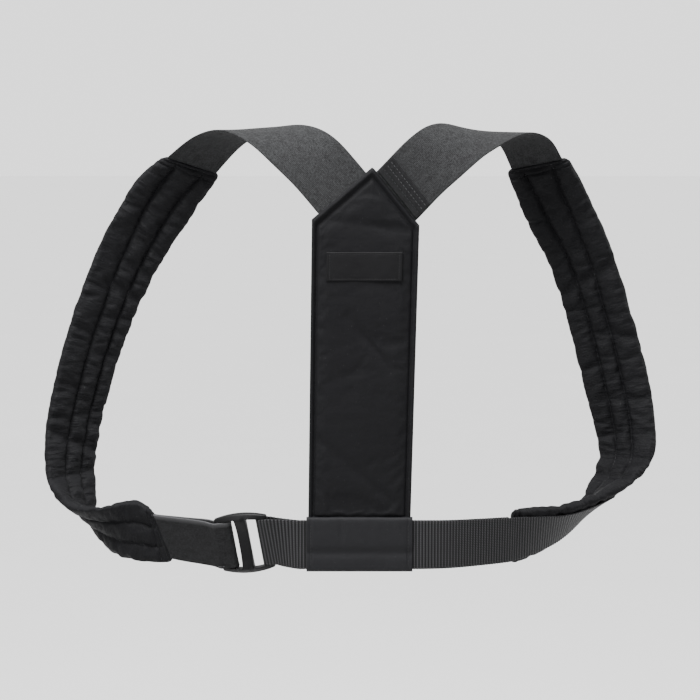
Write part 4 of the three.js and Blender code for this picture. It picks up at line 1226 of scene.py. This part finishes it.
def makeWaistElastic():
    bar = onBuckle(-barOut, 0, 0)
    towardBar = buckleTurn @ Vector((1, 0, 0))
    barDown = buckleTurn @ Vector((0, 0, -1))
    radius = buckle["thickness"] / 2 + belt["gap"] + waist["thickness"] / 2
    halfGap = (waist["thickness"] + belt["layerGap"]) / 2
    middle = []
    for share in (1, 0.5, 0):
        station = leftLoop.at(leftLoop.length - waist["hem"] * share)
        middle.append({"centre": station.centre, "across": station.across, "halfGap": halfGap})
    hem = leftLoop.at(leftLoop.length)
    outsideHem = hem.centre + hem.along * waist["hem"] / 2
    for share in (0.02, 0.5, 0.8):
        middle.append({
            "centre": outsideHem.lerp(bar, share),
            "across": hem.across.lerp(barDown, share).normalized(),
            "halfGap": lerp(halfGap, radius, share ** 2),
        })
    route = Route(roundBar(middle, bar, barDown, towardBar, waist["thickness"], waist["slack"]))

    def ring(station):      # the woven edges stand a little thicker than the band
        section = strapRing(waist["width"], waist["thickness"], 22)
        made = []
        for place, height in section:
            toEdge = waist["width"] / 2 - abs(place)
            thin = waist["dip"] * smoothstep(toEdge, waist["edge"] / 2, waist["edge"])
            wave = waist["wave"] * ripple(place * 60, station.distance * 40, 3)
            made.append((place, height - math.copysign(thin, height) * (abs(height) > 0.0005) + wave))
        return made

    stations = route.stations(0, route.length, waist["pitch"])
    mesh = rolledBand(stations, ring)
    finishPiece("waist_elastic_cloth", mesh, "waist", ["waist_elastic"], subdivide=1)
    return route


def makeWaistTack(route):       # a short pale tack near the foot of the fold
    first = route.distanceOfRow(waist["barRow"]) - waist["tackBack"]
    place = waist["width"] / 2 - waist["tackInset"]
    path = []
    for station in route.stations(first, first + waist["tackRun"], 0.0016):
        path.append((station.point(place, waist["thickness"] / 2 + 0.0003), station.normal))
    tackStitch = {"pitch": 0.0016, "length": 0.0015, "width": 0.0006, "lift": 0.0001}
    stitches("waist_tack_stitches", [path], tackStitch, "paleThread")


print("waist elastic")
makeWaistTack(makeWaistElastic())


# Webbing: on the right pad's outer face, through the sleeve, round the buckle's right bar and back to a tail

webbing = {
    "width": 0.04, "thickness": 0.0015, "padRun": 0.095, "padHalf": 0.0033, "ride": 0.00075,
    "rib": 0.00255, "ribDepth": 0.0005, "tooth": 0.0005, "samplesPerRib": 6,
    "padShares": (0, 0.1, 0.2, 0.3, 0.4, 0.5, 0.6, 0.7, 0.8, 0.9, 0.98),
    "straightShares": (-0.07, -0.02, 0.12, 0.5, 0.88, 1.02, 1.07),
    "freeRows": (
        {"place": 0.05, "front": 0.9, "level": 0.05},
        {"place": 0.33, "front": 0.5, "level": 0.4},
        {"place": 0.65, "front": 0.13, "level": 0.75},
    ),
}


def webbingRoute():
    halfGap = (webbing["thickness"] + belt["layerGap"]) / 2
    lift = webbing["padHalf"] + webbing["ride"] + webbing["thickness"] / 2
    padTo = rightLoop.length
    padRows = []
    for share in webbing["padShares"]:
        station = rightLoop.at(padTo - webbing["padRun"] * (1 - share))
        padRows.append({"centre": station.centre + station.normal * lift, "across": station.across})
    padEnd = rightLoop.at(padTo)
    start = padEnd.centre + padEnd.normal * (lift - halfGap)
    up = Vector((0, 0, 1))
    sleeveRight = Vector((sleeveX + sleeveWidth / 2, beltY, beltZ))
    sleeveLeft = Vector((sleeveX - sleeveWidth / 2, beltY, beltZ))
    middle = []
    for row in webbing["freeRows"]:
        x = lerp(start.x, sleeveRight.x, row["place"])
        y = lerp(sleeveRight.y, start.y, row["front"])
        z = lerp(start.z, sleeveRight.z, row["level"])
        across = padEnd.across.lerp(up, row["level"]).normalized()
        middle.append({"centre": Vector((x, y, z)), "across": across, "halfGap": halfGap})
    for share in webbing["straightShares"]:
        centre = sleeveRight.lerp(sleeveLeft, share)
        middle.append({"centre": centre, "across": up, "halfGap": halfGap})
    bar = onBuckle(barOut, 0, 0)
    radius = buckle["thickness"] / 2 + belt["gap"] + webbing["thickness"] / 2
    barUp = buckleTurn @ up
    middle.append({
        "centre": sleeveLeft.lerp(bar, 0.65),
        "across": up.lerp(barUp, 0.6).normalized(),
        "halfGap": lerp(halfGap, radius, 0.6),
    })
    towardBar = buckleTurn @ Vector((-1, 0, 0))
    return Route([*padRows, *roundBar(middle, bar, barUp, towardBar, webbing["thickness"])])


def makeWebbing():
    route = webbingRoute()

    def ring(station):
        phase = 2 * math.pi * station.distance / webbing["rib"]
        crest = abs(math.sin(phase / 2))
        section = strapRing(webbing["width"] - webbing["tooth"] * (1 - crest), webbing["thickness"], 12)
        thinner = webbing["ribDepth"] * (1 - crest) / webbing["thickness"] * 2
        return [(place, height * (1 - thinner)) for place, height in section]

    stations = route.stations(0, route.length, webbing["rib"] / webbing["samplesPerRib"])
    finishPiece("belt_webbing_cloth", rolledBand(stations, ring), "webbing", ["belt_webbing"])


print("belt webbing")
makeWebbing()


# Camera, floor and light

view = {
    "target": Vector((-0.0108, 0, -0.0056)), "distance": 1.7, "elevation": 6, "lens": 109.3, "sensor": 36,
    "floor": -1.25,
}


def makeCamera():
    data = bpy.data.cameras.new("photoView")
    camera = bpy.data.objects.new("photoView", data)
    bpy.context.scene.collection.objects.link(camera)
    data.lens = view["lens"]
    data.sensor_width = view["sensor"]
    data.clip_end = 100
    tilt = math.radians(view["elevation"])
    camera.location = view["target"] + Vector((0, -math.cos(tilt), math.sin(tilt))) * view["distance"]
    camera.rotation_euler = (math.pi / 2 - tilt, 0, 0)
    bpy.context.scene.camera = camera


def makeFloor():
    mesh = bmesh.new()
    bmesh.ops.create_grid(mesh, x_segments=2, y_segments=2, size=60)
    bmesh.ops.translate(mesh, verts=mesh.verts[:], vec=(0, 0, view["floor"]))
    data = bpy.data.meshes.new("floor")
    mesh.to_mesh(data)
    mesh.free()
    floor = bpy.data.objects.new("floor", data)
    bpy.context.scene.collection.objects.link(floor)
    pale = Finish("paleFloor", 0.2)
    pale.plug(0.9, pale.shader.inputs["Roughness"])
    tone = pale.cloud(pale.objectPlace(), 3, 2)
    colour = pale.blend(tone, (0.9, 0.9, 0.9), (0.93, 0.93, 0.93))
    pale.plug(colour, pale.shader.inputs["Base Color"])
    data.materials.append(pale.material)


lamps = {
    "top": {"at": (-0.35, -0.45, 1.35), "size": 1.0, "power": 150},
    "front": {"at": (-1.3, -1.7, 0.5), "size": 1.2, "power": 24},
    "side": {"at": (1.7, 0.5, 0.9), "size": 1.0, "power": 40},
}


def makeLight():
    for name, lamp in lamps.items():
        data = bpy.data.lights.new(name, "AREA")
        data.shape = "DISK"
        data.size = lamp["size"]
        data.energy = lamp["power"]
        light = bpy.data.objects.new(name, data)
        bpy.context.scene.collection.objects.link(light)
        light.location = lamp["at"]
        light.rotation_euler = (view["target"] - light.location).to_track_quat("-Z", "Y").to_euler()
    world = bpy.data.worlds.new("studio")
    world.use_nodes = True
    world.node_tree.nodes["Background"].inputs["Color"].default_value = (1, 1, 1, 1)
    world.node_tree.nodes["Background"].inputs["Strength"].default_value = 1.8
    bpy.context.scene.world = world


print("camera and light")
makeCamera()
makeFloor()
makeLight()
